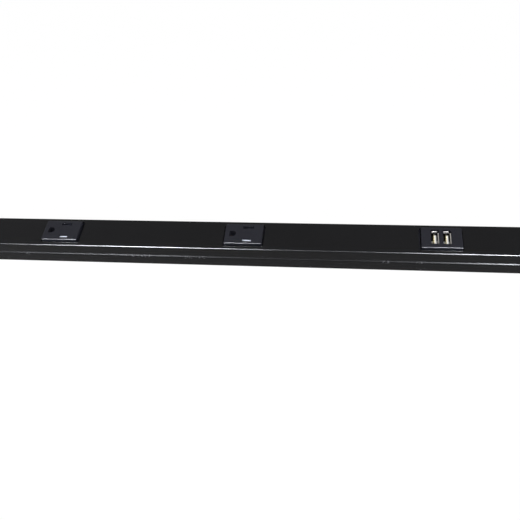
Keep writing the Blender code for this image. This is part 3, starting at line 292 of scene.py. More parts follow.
def tidy(mesh):
    """Merges doubled points, turns faces outwards and shades smooth between sharp edges."""
    bm = bmesh.new()
    bm.from_mesh(mesh)
    bmesh.ops.remove_doubles(bm, verts=bm.verts, dist=TINY)
    bmesh.ops.recalc_face_normals(bm, faces=bm.faces)
    bm.to_mesh(mesh)
    bm.free()
    return shaded(mesh)


def closed_rings(rings, inward=False):
    """A solid from rings of points. inward is for rings that wind the other way round."""
    rows, columns = rings.shape[:2]
    ends = [range(columns)[::-1], range((rows - 1) * columns, rows * columns)]
    if inward:
        ends = [end[::-1] for end in ends]
    return tidy(mesh_from(rings, ring_faces(rows, columns) + [list(end) for end in ends]))


def quarter(steps):
    """Angles over a quarter turn."""
    return np.linspace(0.0, math.pi / 2, steps + 1)


def full_turn(sides):
    """Angles round a whole turn."""
    return np.linspace(0.0, 2 * math.pi, sides, endpoint=False)


def rounded_outline(half_x, half_y, radius, steps):
    """A rounded rectangle: each corner is centre + radius * (cos t, sin t) over a quarter turn."""
    turns = quarter(steps)[None, :] + np.arange(4)[:, None] * math.pi / 2
    sign_x = np.array([1, -1, -1, 1])[:, None]
    sign_y = np.array([1, 1, -1, -1])[:, None]
    x = sign_x * (half_x - radius) + radius * np.cos(turns)
    y = sign_y * (half_y - radius) + radius * np.sin(turns)
    return np.stack([x.ravel(), y.ravel()], axis=-1)


def edge_levels(low, high, bottom, top, steps):
    """Heights and insets up a block's side: a quarter round at each edge, and straight between.

    On the top round the inset is r * (1 - cos t) and the height is the top less r * (1 - sin t).
    """
    turn = quarter(steps)
    levels = [(low, 0.0)]
    if bottom:
        levels = [(low + bottom * (1 - math.cos(t)), bottom * (1 - math.sin(t))) for t in turn]
    if not top:
        return levels + [(high, 0.0)]
    return levels + [(high - top * (1 - math.sin(t)), top * (1 - math.cos(t))) for t in turn]


def block(low, high, corner, top=0.0, bottom=0.0, steps=CORNER_STEPS):
    """A block with round corners and quarter-round edges, as a stack of rings."""
    return ring_stack(low, high, corner, edge_levels(low[2], high[2], bottom, top, steps), steps)


def flared_cutter(low, high, surface_z, corner, flare):
    """A cutter that leaves a round edge: its outline grows by r (1 - cos t) at height r sin t."""
    levels = [(low[2], 0.0)]
    for t in quarter(CORNER_STEPS):
        levels.append((surface_z - flare + flare * math.sin(t), -flare * (1 - math.cos(t))))
    levels.append((high[2], -flare))
    return ring_stack(low, high, corner, levels, CORNER_STEPS)


def ring_stack(low, high, corner, levels, steps):
    """Rings of one rounded rectangle, one at each level's height, pulled in by its inset."""
    low, high = np.array(low, float), np.array(high, float)
    centre = (low + high) / 2
    half = (high - low) / 2
    rings = []
    for height, inset in levels:
        radius = max(corner - inset, LEAST_CORNER * corner)
        flat = rounded_outline(half[0] - inset, half[1] - inset, radius, steps)
        rings.append(np.column_stack([flat + centre[:2], np.full(len(flat), height)]))
    return closed_rings(np.array(rings))


def prism(outline, axis, low, high):
    """A flat outline carried straight along one axis, closed at both ends."""
    order = {"X": (2, 0, 1), "Y": (0, 2, 1), "Z": (0, 1, 2)}[axis]
    ends = [np.column_stack([outline, np.full(len(outline), end)])[:, order] for end in (low, high)]
    return closed_rings(np.array(ends))


def turned(profile, centre, sides=48):
    """A turned solid: each profile point (r, z) goes round as (r cos a, r sin a, z)."""
    r, z = np.array(profile, float).T[:, :, None]
    turn = full_turn(sides)
    points = np.stack(
        [r * np.cos(turn) + centre[0], r * np.sin(turn) + centre[1], z + 0 * turn], axis=-1
    )
    return closed_rings(points, inward=True)


def tube(path, radius, sides):
    """A round wire: each point of the path carries a ring, centre + r (N cos a + B sin a).

    T is the path's direction there. N is the fixed side direction less its part along T, and B is
    T x N. The radius may change along the path.
    """
    radius = np.broadcast_to(radius, len(path))[:, None, None]
    tangent = np.gradient(path, axis=0)
    tangent /= np.linalg.norm(tangent, axis=1, keepdims=True)
    side = np.eye(3)[int(np.argmin(np.abs(tangent).mean(0)))]
    normal = side - (tangent @ side)[:, None] * tangent
    normal /= np.linalg.norm(normal, axis=1, keepdims=True)
    binormal = np.cross(tangent, normal)
    turn = full_turn(sides)[None, :, None]
    spokes = normal[:, None] * np.cos(turn) + binormal[:, None] * np.sin(turn)
    return closed_rings(path[:, None] + radius * spokes, inward=True)


def filleted(corners, radii, steps):
    """A path whose inner corners are arcs of r.

    Each arc starts r / tan and has its centre r / sin of half the corner's opening from the corner.
    """
    corners = np.array(corners, float)
    points = [corners[:1]]
    for before, corner, after, radius in zip(corners, corners[1:], corners[2:], radii):
        back = (before - corner) / np.linalg.norm(before - corner)
        ahead = (after - corner) / np.linalg.norm(after - corner)
        opening = math.acos(float(np.clip(back @ ahead, -1, 1)))
        start = corner + back * radius / math.tan(opening / 2)
        bisector = (back + ahead) / np.linalg.norm(back + ahead)
        centre = corner + bisector * radius / math.sin(opening / 2)
        side = 1.0 if back[0] * ahead[1] - back[1] * ahead[0] < 0 else -1.0
        turn = side * np.linspace(0.0, math.pi - opening, steps + 1)
        arm = start - centre
        points.append(centre + np.column_stack([
            arm[0] * np.cos(turn) - arm[1] * np.sin(turn),
            arm[0] * np.sin(turn) + arm[1] * np.cos(turn),
        ]))
    points.append(corners[-1:])
    return np.vstack(points)


def sheet_run(half_path, thickness, stations):
    """A bent sheet: a half section, mirrored across the strip, made thick and carried along X.

    Each point moves out and in by half the thickness along the mean of its two segments' normals,
    divided by the cosine of half the turn there. The sheet's free edges and ends are closed.
    """
    path = np.vstack([half_path[::-1] * (-1.0, 1.0), half_path])
    path = path[np.append(True, np.linalg.norm(np.diff(path, axis=0), axis=1) > TINY)]
    segment = np.diff(path, axis=0)
    segment /= np.linalg.norm(segment, axis=1, keepdims=True)
    flank = np.column_stack([-segment[:, 1], segment[:, 0]])
    normal = np.vstack([flank[:1], flank[:-1] + flank[1:], flank[-1:]])
    normal /= np.linalg.norm(normal, axis=1, keepdims=True)
    reach = np.append(1.0, np.append(np.sum(normal[1:-1] * flank[1:], axis=1), 1.0))
    offset = normal * (thickness / 2 / reach)[:, None]
    loop = np.vstack([path + offset, (path - offset)[::-1]])
    rows, columns = len(stations), len(loop)
    points = np.empty((rows, columns, 3))
    points[..., 0] = np.array(stations, float)[:, None]
    points[..., 1:] = loop[None]
    faces = ring_faces(rows, columns)
    for start, flip in ((0, False), ((rows - 1) * columns, True)):
        for index in range(len(path) - 1):
            near, far = start + index, start + columns - 1 - index
            quad = [near, near + 1, far - 1, far]
            faces.append(quad[::-1] if flip else quad)
    return tidy(mesh_from(points, faces))


def add_object(name, data):
    obj = bpy.data.objects.new(name, data)
    bpy.context.scene.collection.objects.link(obj)
    return obj


def combined(first, others, operation):
    """The exact union or difference of closed meshes."""
    body, *tools = [add_object("shape", mesh) for mesh in (first, *others)]
    for tool in tools:
        modifier = body.modifiers.new("step", "BOOLEAN")
        modifier.operation = operation
        modifier.object = tool
    evaluated = body.evaluated_get(bpy.context.evaluated_depsgraph_get())
    made = bpy.data.meshes.new_from_object(evaluated)
    for obj in (body, *tools):
        bpy.data.objects.remove(obj, do_unlink=True)
    return shaded(made)


def union(first, *others):
    return combined(first, others, "UNION")


def difference(first, *others):
    return combined(first, others, "DIFFERENCE")


def plate_span(name):
    """Lowest and highest corner of a module's raised plate."""
    low, high = span(f"{name}_face")
    corner = np.array([low[0] + FLANGE_REACH, -PLATE_WIDTH / 2, FLANGE_UNDER])
    return corner, np.array([high[0] - FLANGE_REACH, PLATE_WIDTH / 2, high[2]])


def face_moulding(name, edge):
    """The plate, the collar behind the cover with a groove round the plate, and the snap arms."""
    low, high = span(f"{name}_face")
    centre = (low[0] + high[0]) / 2
    half = (high[0] - low[0]) / 2
    plate_low, plate_high = plate_span(name)
    plate = block(plate_low, plate_high, PLATE_CORNER, edge, steps=8)
    collar = block((*low[:2], COLLAR_LOW), (*high[:2], FLANGE_TOP), COLLAR_CORNER, steps=3)
    groove_low, groove_high = (plate_low - GROOVE)[:2], (plate_high + GROOVE)[:2]
    above = FLANGE_TOP + PAST
    grooves = [block(
        (*groove_low, FLANGE_TOP - GROOVE_DEPTH), (*groove_high, above), GROOVE_CORNER, steps=3
    )]
    for start, end in (
        (groove_low[0], plate_low[0] + END_GROOVE_LAP),
        (plate_high[0] - END_GROOVE_LAP, groove_high[0]),
    ):
        grooves.append(block(
            (start, groove_low[1], FLANGE_TOP - END_GROOVE_DEPTH), (end, groove_high[1], above),
            NOOK, steps=2,
        ))
    collar = difference(collar, *grooves)
    root, hook, inner = COLLAR_LOW + ARM_ROOT, low[2] + HOOK_RISE, half - ARM_THICKNESS
    arms = []
    for side in (-1, 1):
        arm = np.array([
            (half, root), (inner, root), (inner, hook), (half - HOOK_REACH, hook),
            (half - HOOK_FOOT, low[2]), (half, low[2]),
        ])
        arm[:, 0] = centre + side * arm[:, 0]
        arms.append(prism(arm, "Y", -ARM_HALF, ARM_HALF))
    return union(plate, collar, *arms)


def place(name, mesh, slot, nodes, edge=0.0, finish=None, body=STRIP):
    """Puts a finished piece in the scene, in its slot's finish unless another is named."""
    mesh.name = name
    mesh.materials.clear()
    mesh.materials.append(finish_of(finish or slot))
    obj = add_object(name, mesh)
    if edge:
        bevel = obj.modifiers.new("Soft edges", "BEVEL")
        bevel.width = edge
        bevel.segments = 2
        bevel.limit_method = "ANGLE"
        bevel.angle_limit = SOFT_EDGE_ANGLE
    weighted = obj.modifiers.new("Flat faces", "WEIGHTED_NORMAL")
    weighted.keep_sharp = True
    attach(obj, body)
    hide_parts(*nodes)
    return obj


# Materials

def new_material(name):
    """A material with its nodes and its shader."""
    made = bpy.data.materials.new(name)
    made.use_nodes = True
    return made, made.node_tree, made.node_tree.nodes["Principled BSDF"]


def object_coordinates(tree):
    return tree.nodes.new("ShaderNodeTexCoord").outputs["Object"]


def fill(tree, node, inputs):
    """Links each of a node's inputs to the socket given for it, or sets it to the value given."""
    for key, value in inputs.items():
        if isinstance(value, bpy.types.NodeSocket):
            tree.links.new(value, node.inputs[key])
        else:
            node.inputs[key].default_value = value


def add_node(tree, kind, inputs, **settings):
    node = tree.nodes.new(f"ShaderNode{kind}")
    for key, value in settings.items():
        setattr(node, key, value)
    fill(tree, node, inputs)
    return node


def axes(tree):
    """X, Y and Z of the object's coordinates."""
    return add_node(tree, "SeparateXYZ", {"Vector": object_coordinates(tree)}).outputs


def noise(tree, scale, detail, stretch=(1.0, 1.0, 1.0)):
    """Noise of a given scale per metre, drawn out along an axis by its stretch."""
    mapping = add_node(tree, "Mapping", {"Vector": object_coordinates(tree), "Scale": stretch})
    inputs = {"Vector": mapping.outputs["Vector"], "Scale": scale, "Detail": detail}
    return add_node(tree, "TexNoise", inputs).outputs["Fac"]


def level_between(tree, value, none, full, low=0.0, high=1.0):
    """Low where the value is none, high where it is full, and straight between."""
    inputs = {"Value": value, "From Min": none, "From Max": full, "To Min": low, "To Max": high}
    return add_node(tree, "MapRange", inputs).outputs["Result"]


def ramp(tree, value, low=0.0, high=1.0):
    """Noise, which mostly lies between 0.3 and 0.7, spread over a range."""
    return level_between(tree, value, 0.3, 0.7, low, high)


def blend_colours(tree, share, first, second):
    """A mix of two colours. Each is three numbers or a socket."""
    ends = [(*end, 1.0) if isinstance(end, tuple) else end for end in (first, second)]
    inputs = {"Factor": share, "A": ends[0], "B": ends[1]}
    return add_node(tree, "Mix", inputs, data_type="RGBA").outputs["Result"]


def worked(tree, operation, first, second=0.5):
    """The result of one math step on sockets or numbers."""
    return add_node(tree, "Math", {0: first, 1: second}, operation=operation).outputs["Value"]


def bump(tree, value, strength, distance, **under):
    """Bumps, on top of those given as Normal."""
    inputs = {"Height": value, "Strength": strength, "Distance": distance, **under}
    return add_node(tree, "Bump", inputs).outputs["Normal"]


def scaled(colour, factor):
    return tuple(min(1.0, c * factor) for c in colour)


def surface(
    name, colour, shade, roughness, grain, metallic=0.0, specular=0.5, depth=0.00002, strength=0.3,
    stretch=(1.0, 1.0, 1.0), patch=60.0,
):
    """A finish: colour drifting to a shade in patches, and a grain in its roughness and bump.

    roughness is its low and high value. grain and patch are the two noises' scales per metre, and
    without a patch the colour follows the grain.
    """
    made, tree, shader = new_material(name)
    fine = noise(tree, grain, 3.0, stretch)
    broad = noise(tree, patch, 2.0) if patch else fine
    fill(tree, shader, {
        "Base Color": blend_colours(tree, ramp(tree, broad), colour, shade),
        "Roughness": ramp(tree, fine, *roughness),
        "Normal": bump(tree, fine, strength, depth),
        "Metallic": metallic,
        "Specular IOR Level": specular,
    })
    return made


def seam_scuffs(tree):
    """Where the cover scraped the base's shoulder as it snapped on: specks below the front seam.

    The share is the greatest of the patches' windows along X, times a window of Z about the
    shoulder's bend, times fine noise above its threshold, on the side where Y is below zero.
    """
    x, y, z = axes(tree)
    share = 0.0
    for centre, half in SCUFF_PATCHES:
        away = worked(tree, "ABSOLUTE", worked(tree, "SUBTRACT", x, centre))
        patch = level_between(tree, away, half + SCUFF_FADE, half)
        share = worked(tree, "MAXIMUM", share, patch)
    bend = SKIRT_END - SHOULDER_DROP
    for value, none, full in (
        (y, 0.0, -0.001),
        (z, bend - SCUFF_REACH, bend - 0.3 * SCUFF_REACH),
        (z, bend + 0.8 * SCUFF_REACH, bend + 0.3 * SCUFF_REACH),
        (noise(tree, 750.0, 1.0, (0.7, 0.3, 1.0)), 0.50, 0.62),
    ):
        share = worked(tree, "MULTIPLY", share, level_between(tree, value, none, full))
    return share


def painted_steel(name, settings):
    """Satin black paint on rolled steel: fine orange peel over the faint waves left by rolling."""
    made, tree, shader = new_material(name)
    peel = noise(tree, 900.0, 2.0)
    waves = noise(tree, 45.0, 1.0, (0.5, 1.0, 1.0))
    broad = noise(tree, 14.0, 2.0)
    colour = tuple(settings.colour)
    paint = blend_colours(tree, ramp(tree, broad), colour, scaled(colour, 1.25))
    rough = settings.roughness
    fill(tree, shader, {
        "Base Color": blend_colours(tree, seam_scuffs(tree), paint, SCUFF_COLOUR),
        "Roughness": ramp(tree, peel, rough - 0.02, rough + 0.03),
        "Normal": bump(tree, peel, 0.12, 0.00002, Normal=bump(tree, waves, 0.035, 0.0003)),
        "Specular IOR Level": settings.specular,
    })
    return made


def port_nickel_painted_shade(name):
    """Nickel on the port shells' lips, with painted shade inside the shells: below the lips its
    colour turns almost black.
    """
    made = surface(name, (0.45, 0.43, 0.41), (0.39, 0.37, 0.355), *NICKEL_GRAIN, **NICKEL)
    tree = made.node_tree
    base = tree.nodes["Principled BSDF"].inputs["Base Color"]
    edge = span("usb_face")[1][2] + LIP_RISE - PAINTED_SHADE_BELOW
    share = level_between(tree, axes(tree)["Z"], edge - PAINTED_SHADE_FADE, edge)
    nickel_colour = base.links[0].from_socket
    # painted shade: below the lips the shells' nickel is coloured nearly black, where the inside
    # lies in shade
    tree.links.new(blend_colours(tree, share, (0.05, 0.048, 0.046), nickel_colour), base)
    return made


def circuit_board_green(name):
    """Green solder mask over copper: square cells whose edges are the tracks, and a fine weave."""
    made, tree, shader = new_material(name)
    tracks = add_node(tree, "TexBrick", {
        "Vector": object_coordinates(tree),
        "Scale": 300.0,
        "Mortar Size": 0.045,
        "Color1": (0.010, 0.105, 0.045, 1.0),
        "Color2": (0.014, 0.125, 0.052, 1.0),
        "Mortar": (0.030, 0.200, 0.080, 1.0),
    })
    fill(tree, shader, {
        "Base Color": tracks.outputs["Color"],
        "Roughness": ramp(tree, noise(tree, 2600.0, 2.0), 0.28, 0.42),
        "Normal": bump(tree, tracks.outputs["Fac"], 0.4, 0.00003),
    })
    return made


def seen_directly(tree):
    """1 for camera, glossy and transmission rays, which show the white surroundings."""
    path = tree.nodes.new("ShaderNodeLightPath")
    camera, glossy, through = (
        path.outputs[f"Is {kind} Ray"] for kind in ("Camera", "Glossy", "Transmission")
    )
    return worked(tree, "MAXIMUM", worked(tree, "MAXIMUM", camera, glossy), through)


def floor_finish(white):
    """A pale floor that shows mostly as white, and still takes the strip's shadow."""
    made, tree, shader = new_material("white_floor")
    fill(tree, shader, {
        "Base Color": (0.92, 0.92, 0.92, 1.0), "Roughness": 0.9, "Specular IOR Level": 0.0,
    })
    glow = add_node(tree, "Emission", {"Strength": 1.02})
    share = worked(tree, "MULTIPLY", seen_directly(tree), white)
    mix = add_node(tree, "MixShader", {
        "Fac": share, 1: shader.outputs["BSDF"], 2: glow.outputs["Emission"],
    })
    tree.links.new(mix.outputs["Shader"], tree.nodes["Material Output"].inputs["Surface"])
    return made


NICKEL_GRAIN = ((0.12, 0.2), 2400.0)
NICKEL = {"metallic": 1.0, "stretch": (1.0, 1.0, 10.0)}
PALE = {"specular": 0.2, "depth": 0.00001, "strength": 0.2}
DRAWN = {"stretch": (0.1, 1.0, 1.0)}
PLAIN_FINISHES = (  # slot, colour, shade, roughness, grain, and what else the surface takes
    ("black_plastic", (0.008, 0.008, 0.009), (0.012, 0.012, 0.013), (0.48, 0.6), 3000.0,
        {"specular": 0.25}),
    ("white_plastic", (0.74, 0.74, 0.72), (0.68, 0.68, 0.66), (0.35, 0.45), 2600.0, PALE),
    ("contact_brass", (0.66, 0.46, 0.18), (0.52, 0.32, 0.13), (0.18, 0.28), 2200.0,
        {"metallic": 1.0, "stretch": (1.0, 1.0, 8.0)}),
    ("gold_plating", (0.62, 0.52, 0.24), (0.52, 0.44, 0.2), (0.12, 0.2), 2600.0,
        {"metallic": 1.0}),
    ("nickel_plating", (0.34, 0.32, 0.31), (0.29, 0.275, 0.265), *NICKEL_GRAIN, NICKEL),
    ("spring_steel", (0.5, 0.5, 0.51), (0.42, 0.42, 0.44), (0.24, 0.36), 2400.0,
        {"metallic": 1.0, "stretch": (6.0, 1.0, 1.0)}),
    ("zinc_plating", (0.58, 0.6, 0.63), (0.66, 0.64, 0.58), (0.26, 0.42), 1500.0,
        {"metallic": 1.0, "patch": 350.0}),
    ("green_screw", (0.03, 0.22, 0.08), (0.045, 0.28, 0.11), (0.26, 0.4), 1800.0,
        {"metallic": 0.6}),
    ("black_insulation", (0.014, 0.014, 0.015), (0.02, 0.02, 0.021), (0.32, 0.42), 1200.0, DRAWN),
    ("white_insulation", (0.78, 0.78, 0.75), (0.72, 0.72, 0.69), (0.34, 0.44), 1200.0, DRAWN),
    ("green_insulation", (0.02, 0.24, 0.06), (0.028, 0.28, 0.075), (0.32, 0.42), 1200.0, DRAWN),
    ("ferrite", (0.04, 0.038, 0.036), (0.06, 0.057, 0.054), (0.55, 0.72), 2200.0,
        {"depth": 0.00004, "strength": 0.5}),
    ("capacitor_sleeve", (0.018, 0.028, 0.075), (0.026, 0.038, 0.095), (0.22, 0.32), 1800.0,
        {"depth": 0.00001, "strength": 0.15, "patch": None}),
)
FINISHES = {}


def finishes(scene):
    """Every slot's finish, and the port shells' own, with its painted shade inside the shells."""
    plastic = scene.strip_mouldings
    plate, shutter, rough = tuple(plastic.colour), tuple(plastic.shutter_colour), plastic.roughness
    rows = (
        ("plate_plastic", plate, scaled(plate, 1.15), (rough - 0.03, rough + 0.05), 3500.0,
            {"specular": plastic.specular, "depth": 0.00001, "strength": 0.25}),
        ("shutter_plastic", shutter, scaled(shutter, 0.94), (0.30, 0.40), 2600.0, PALE),
        *PLAIN_FINISHES,
    )
    made = {slot: surface(slot, *values, **others) for slot, *values, others in rows}
    made["black_paint"] = painted_steel("black_paint", scene.strip_steel)
    # the port shells' nickel, with painted shade inside the shells
    made["port_nickel_painted_shade"] = port_nickel_painted_shade("port_nickel_painted_shade")
    made["board_green"] = circuit_board_green("board_green")
    return made


def finish_of(slot):
    if not FINISHES:
        FINISHES.update(finishes(bpy.context.scene))
    return FINISHES[slot]


# Settings

LENGTH = {"subtype": "DISTANCE", "unit": "LENGTH"}
POWER = {"subtype": "POWER", "unit": "POWER"}
SHARE = {"subtype": "FACTOR"}
COLOUR = {"subtype": "COLOR", "size": 3}
PLAIN = {}


def setting(name, description, default, kind, low=0.0, high=1.0):
    """A number, or as many as the kind's size says."""
    make = FloatVectorProperty if "size" in kind else FloatProperty
    return make(name=name, description=description, default=default, min=low, max=high, **kind)


class SteelSettings(bpy.types.PropertyGroup):
    """Paint and bends of the raceway's steel."""

    colour: setting("Paint", "Colour of the paint", (0.0066, 0.0066, 0.0073), COLOUR)
    roughness: setting("Roughness", "How matt the paint is", 0.205, SHARE, 0.05)
    specular: setting("Shine", "Strength of the paint's reflection", 0.066, SHARE)
    thickness: setting("Sheet", "Thickness of the rolled sheet", 0.001, LENGTH, 0.0005, 0.002)
    edge: setting("Cut edge", "Roundness of the sheet's cut edges", 0.00012, LENGTH, 0.0, 0.0003)
    rim: setting(
        "Cut-out rim", "How far the pressed rim round each cut-out stands up", 0.00006, LENGTH,
        0.00003, 0.0003,
    )
    arc_steps: IntProperty(
        name="Bend steps", description="Facets in each rolled bend", min=4, max=24, default=12
    )


class MouldingSettings(bpy.types.PropertyGroup):
    """Plastic of the three modules."""

    colour: setting("Plate", "Colour of the raised plates", (0.0152, 0.0156, 0.0218), COLOUR)
    shutter_colour: setting("Shutters", "Colour of the shutters", (0.62, 0.67, 0.78), COLOUR)
    roughness: setting("Roughness", "How matt the plates are", 0.25, SHARE, 0.05)
    specular: setting("Shine", "Strength of the plates' reflection", 0.07, SHARE)
    plate_edge: setting(
        "Plate edge", "Radius of the plates' upper edge", 0.0006, LENGTH, 0.0002, 0.0015
    )
    slot_edge: setting("Slot edge", "Roundness of the slots' edges", 0.00012, LENGTH, 0.0, 0.0004)


class StageSettings(bpy.types.PropertyGroup):
    """Camera, lamps and floor."""

    camera_place: FloatVectorProperty(
        name="Camera", description="Where the camera stands", subtype="TRANSLATION",
        unit="LENGTH", size=3, default=(0.088492, -0.323955, 0.419405),
    )
    camera_turn: FloatVectorProperty(
        name="Camera turn", description="How the camera is turned", subtype="EULER",
        unit="ROTATION", size=3, default=[math.radians(turn) for turn in (37.4801, 5.7631, 6.2334)],
    )
    lens: setting("Lens", "Focal length in millimetres", 45.27, PLAIN, 20.0, 120.0)
    lamp_power: setting("Lamp power", "Power of each soft lamp", 3.3, POWER, 0.0, 50.0)
    glint_power: setting(
        "Glint power", "Power of each lamp that shows in reflections only", 370.0, POWER, 0.0, 500.0
    )
    surroundings: setting("Surroundings", "Brightness of the studio's walls", 0.55, PLAIN, 0.0, 2.0)
    floor_white: setting("White floor", "How much of the floor shows as plain white", 0.93, SHARE)


# Operators

class STRIP_OT_raceway_cover(bpy.types.Operator):
    """Build the rolled cover with its skirts, lips and three cut-outs"""

    bl_idname = "strip.raceway_cover"
    bl_label = "Raceway Cover"

    def execute(self, context):
        steel = context.scene.strip_steel
        low, high = span("raceway_cover")
        sheet = steel.thickness
        side = high[1] - sheet / 2
        face = high[2] - sheet / 2
        corners = [
            (side - SKIRT_CURL, SKIRT_END),
            (side, SKIRT_END + SKIRT_CURL_RISE),
            (side, face),
            (0.0, face),
        ]
        path = filleted(corners, [BEAD_RADIUS, BEND_RADIUS - sheet / 2], steel.arc_steps)
        run = sheet_run(path[::-1], sheet, (low[0], high[0]))
        rim_top = high[2] + steel.rim
        corner = PLATE_CORNER + CUTOUT_GAP[1]
        beads, cutters = [], []
        for name, shift in CUTOUT_SHIFT.items():
            plate_low, plate_high = plate_span(name)
            opening_low = (plate_low - CUTOUT_GAP)[:2] + (shift, 0.0)
            opening_high = (plate_high + CUTOUT_GAP)[:2] + (shift, 0.0)
            beads.append(block(
                (*(opening_low - RIM_WIDTH), face), (*(opening_high + RIM_WIDTH), rim_top),
                corner + RIM_WIDTH, steel.rim,
            ))
            cutters.append(flared_cutter(
                (*opening_low, high[2] - 2 * sheet), (*opening_high, high[2] + sheet), rim_top,
                corner, steel.rim,
            ))
        mesh = difference(union(run, *beads), *cutters)
        place("cover_skin", mesh, "black_paint", ["raceway_cover"], steel.edge)
        return {"FINISHED"}


class STRIP_OT_raceway_base(bpy.types.Operator):
    """Build the rolled base with its shoulder, snap bead, screw holes and knockouts"""

    bl_idname = "strip.raceway_base"
    bl_label = "Raceway Base"

    def execute(self, context):
        steel = context.scene.strip_steel
        low, high = span("raceway_base")
        sheet = steel.thickness
        side = high[1] - sheet / 2
        upper = side - WALL_STEP
        shoulder = SKIRT_END - SHOULDER_DROP
        corners = [
            (0.0, sheet / 2),
            (side, sheet / 2),
            (side, shoulder),
            (upper, shoulder + SHOULDER_RISE),
            (upper, BEAD_MIDDLE - BEAD_HEIGHT / 2),
            (upper + BEAD_DEPTH, BEAD_MIDDLE),
            (upper, BEAD_MIDDLE + BEAD_HEIGHT / 2),
            (upper, high[2]),
        ]
        radii = [BEND_RADIUS - sheet / 2, SHOULDER_RADIUS, SHOULDER_RADIUS, *[BEAD_RADIUS] * 3]
        path = filleted(corners, radii, steel.arc_steps)
        run = sheet_run(path, sheet, (low[0], high[0]))
        half = CAD_BOX[1][0]
        pitch = 2 * half / 3
        holes = [
            (x, 0.0, MOUNT_HOLE)
            for x in (END_HOLE_INSET - half, -pitch / 2, pitch / 2, half - END_HOLE_INSET)
        ]
        holes += [(middle(screw)[0], 0.0, SCREW_HOLE) for screw in END_SCREWS]
        holes.append((*middle("ground_screw")[:2], SCREW_HOLE))
        cutters = [turned([(r, 2 * sheet), (r, -sheet)], (x, y), 40) for x, y, r in holes]
        for x in (KNOCKOUT_INSET - half, half - KNOCKOUT_INSET):
            for start in (0.0, math.pi):
                turn = np.linspace(start + KNOCKOUT_TAB, start + math.pi - KNOCKOUT_TAB, 40)
                ring = np.column_stack([np.cos(turn), np.sin(turn)])
                outline = np.vstack([ring * KNOCKOUT, ring[::-1] * (KNOCKOUT - KNOCKOUT_SLIT)])
                cutters.append(prism(outline + (x, 0.0), "Z", -sheet, 2 * sheet))
        mesh = difference(run, *cutters)
        place("base_skin", mesh, "black_paint", ["raceway_base"], steel.edge)
        return {"FINISHED"}


class STRIP_OT_end_caps(bpy.types.Operator):
    """Build the two end caps, each with its tongue and ears"""

    bl_idname = "strip.end_caps"
    bl_label = "End Caps"

    def execute(self, context):
        steel = context.scene.strip_steel
        sheet = steel.thickness
        for name, sign in (("left", -1), ("right", 1)):
            node = f"end_cap_{name}"
            low, high = span(node)
            outer = high[0] if sign > 0 else low[0]
            inner = outer - sign * sheet
            outline = rounded_outline(high[1], (high[2] - low[2]) / 2, BEND_RADIUS, 10)
            outline += (0.0, (high[2] + low[2]) / 2)
            plate = prism(outline, "X", *sorted((inner, outer)))
            overlap = inner + sign * sheet / 2
            tongue_low, tongue_high = sorted((outer - sign * (high[0] - low[0]), overlap))
            floor = sheet + GAP
            tongue = block(
                (tongue_low, -CAP_TONGUE_HALF, floor),
                (tongue_high, CAP_TONGUE_HALF, floor + CAP_SHEET),
                CAP_TONGUE_CORNER, FINE_EDGE, FINE_EDGE, 3,
            )
            ear_low, ear_high = sorted((outer - sign * EAR_LENGTH, overlap))
            wall = high[1] - sheet - GAP
            ears = []
            for side in (-1, 1):
                y_low, y_high = sorted((side * wall, side * (wall - CAP_SHEET)))
                ears.append(block(
                    (ear_low, y_low, EAR_LOW), (ear_high, y_high, EAR_HIGH), NOOK, steps=2
                ))
            screw_x = middle(f"end_cap_screw_{name}")[0]
            hole = turned(
                [(SCREW_HOLE, floor + 2 * PAST), (SCREW_HOLE, floor - PAST)], (screw_x, 0.0), 40
            )
            mesh = difference(union(plate, tongue, *ears), hole)
            place(f"{node}_plate", mesh, "black_paint", [node], steel.edge)
        return {"FINISHED"}


class STRIP_OT_receptacle_faces(bpy.types.Operator):
    """Build the receptacles' face mouldings with their blade slots and ground holes"""

    bl_idname = "strip.receptacle_faces"
    bl_label = "Receptacle Faces"

    def execute(self, context):
        plastic = context.scene.strip_mouldings
        for name in RECEPTACLES:
            node = f"{name}_face"
            low, high = span(node)
            body = face_moulding(name, plastic.plate_edge)
            x = middle(node)[0] + BLADE_SHIFT
            under, above = high[2] - FACE_WALL, high[2] + PAST
            cutters = [
                block(
                    (x - BAY_HALF, low[1] + COLLAR_WALL, COLLAR_LOW - PAST),
                    (x + BAY_HALF, high[1] - COLLAR_WALL, FLANGE_UNDER), NOOK, steps=2,
                ),
                block(
                    (x - BAY_HALF, -RAMP_BAY, FLANGE_UNDER - PAST), (x + BAY_HALF, RAMP_BAY, under),
                    NOOK, steps=2,
                ),
            ]
            for y, half_length in ((-BLADE_Y, LINE_SLOT / 2), (BLADE_Y, NEUTRAL_SLOT / 2)):
                cutters.append(block(
                    (x - half_length, y - SLOT_WIDTH / 2, under - OVERLAP),
                    (x + half_length, y + SLOT_WIDTH / 2, above), SLOT_CORNER, steps=3,
                ))
            turn = np.linspace(-math.pi / 2, math.pi / 2, 33)
            outline = np.column_stack([np.cos(turn), np.sin(turn)]) * GROUND_HOLE / 2
            outline = np.vstack([
                outline, [-GROUND_FLAT, GROUND_HOLE / 2], [-GROUND_FLAT, -GROUND_HOLE / 2]
            ])
            outline += (x - GROUND_SHIFT, 0.0)
            cutters.append(prism(outline, "Z", COLLAR_LOW - PAST, above))
            mesh = difference(body, *cutters)
            place(f"{name}_moulding", mesh, "plate_plastic", [node], plastic.slot_edge)
        return {"FINISHED"}


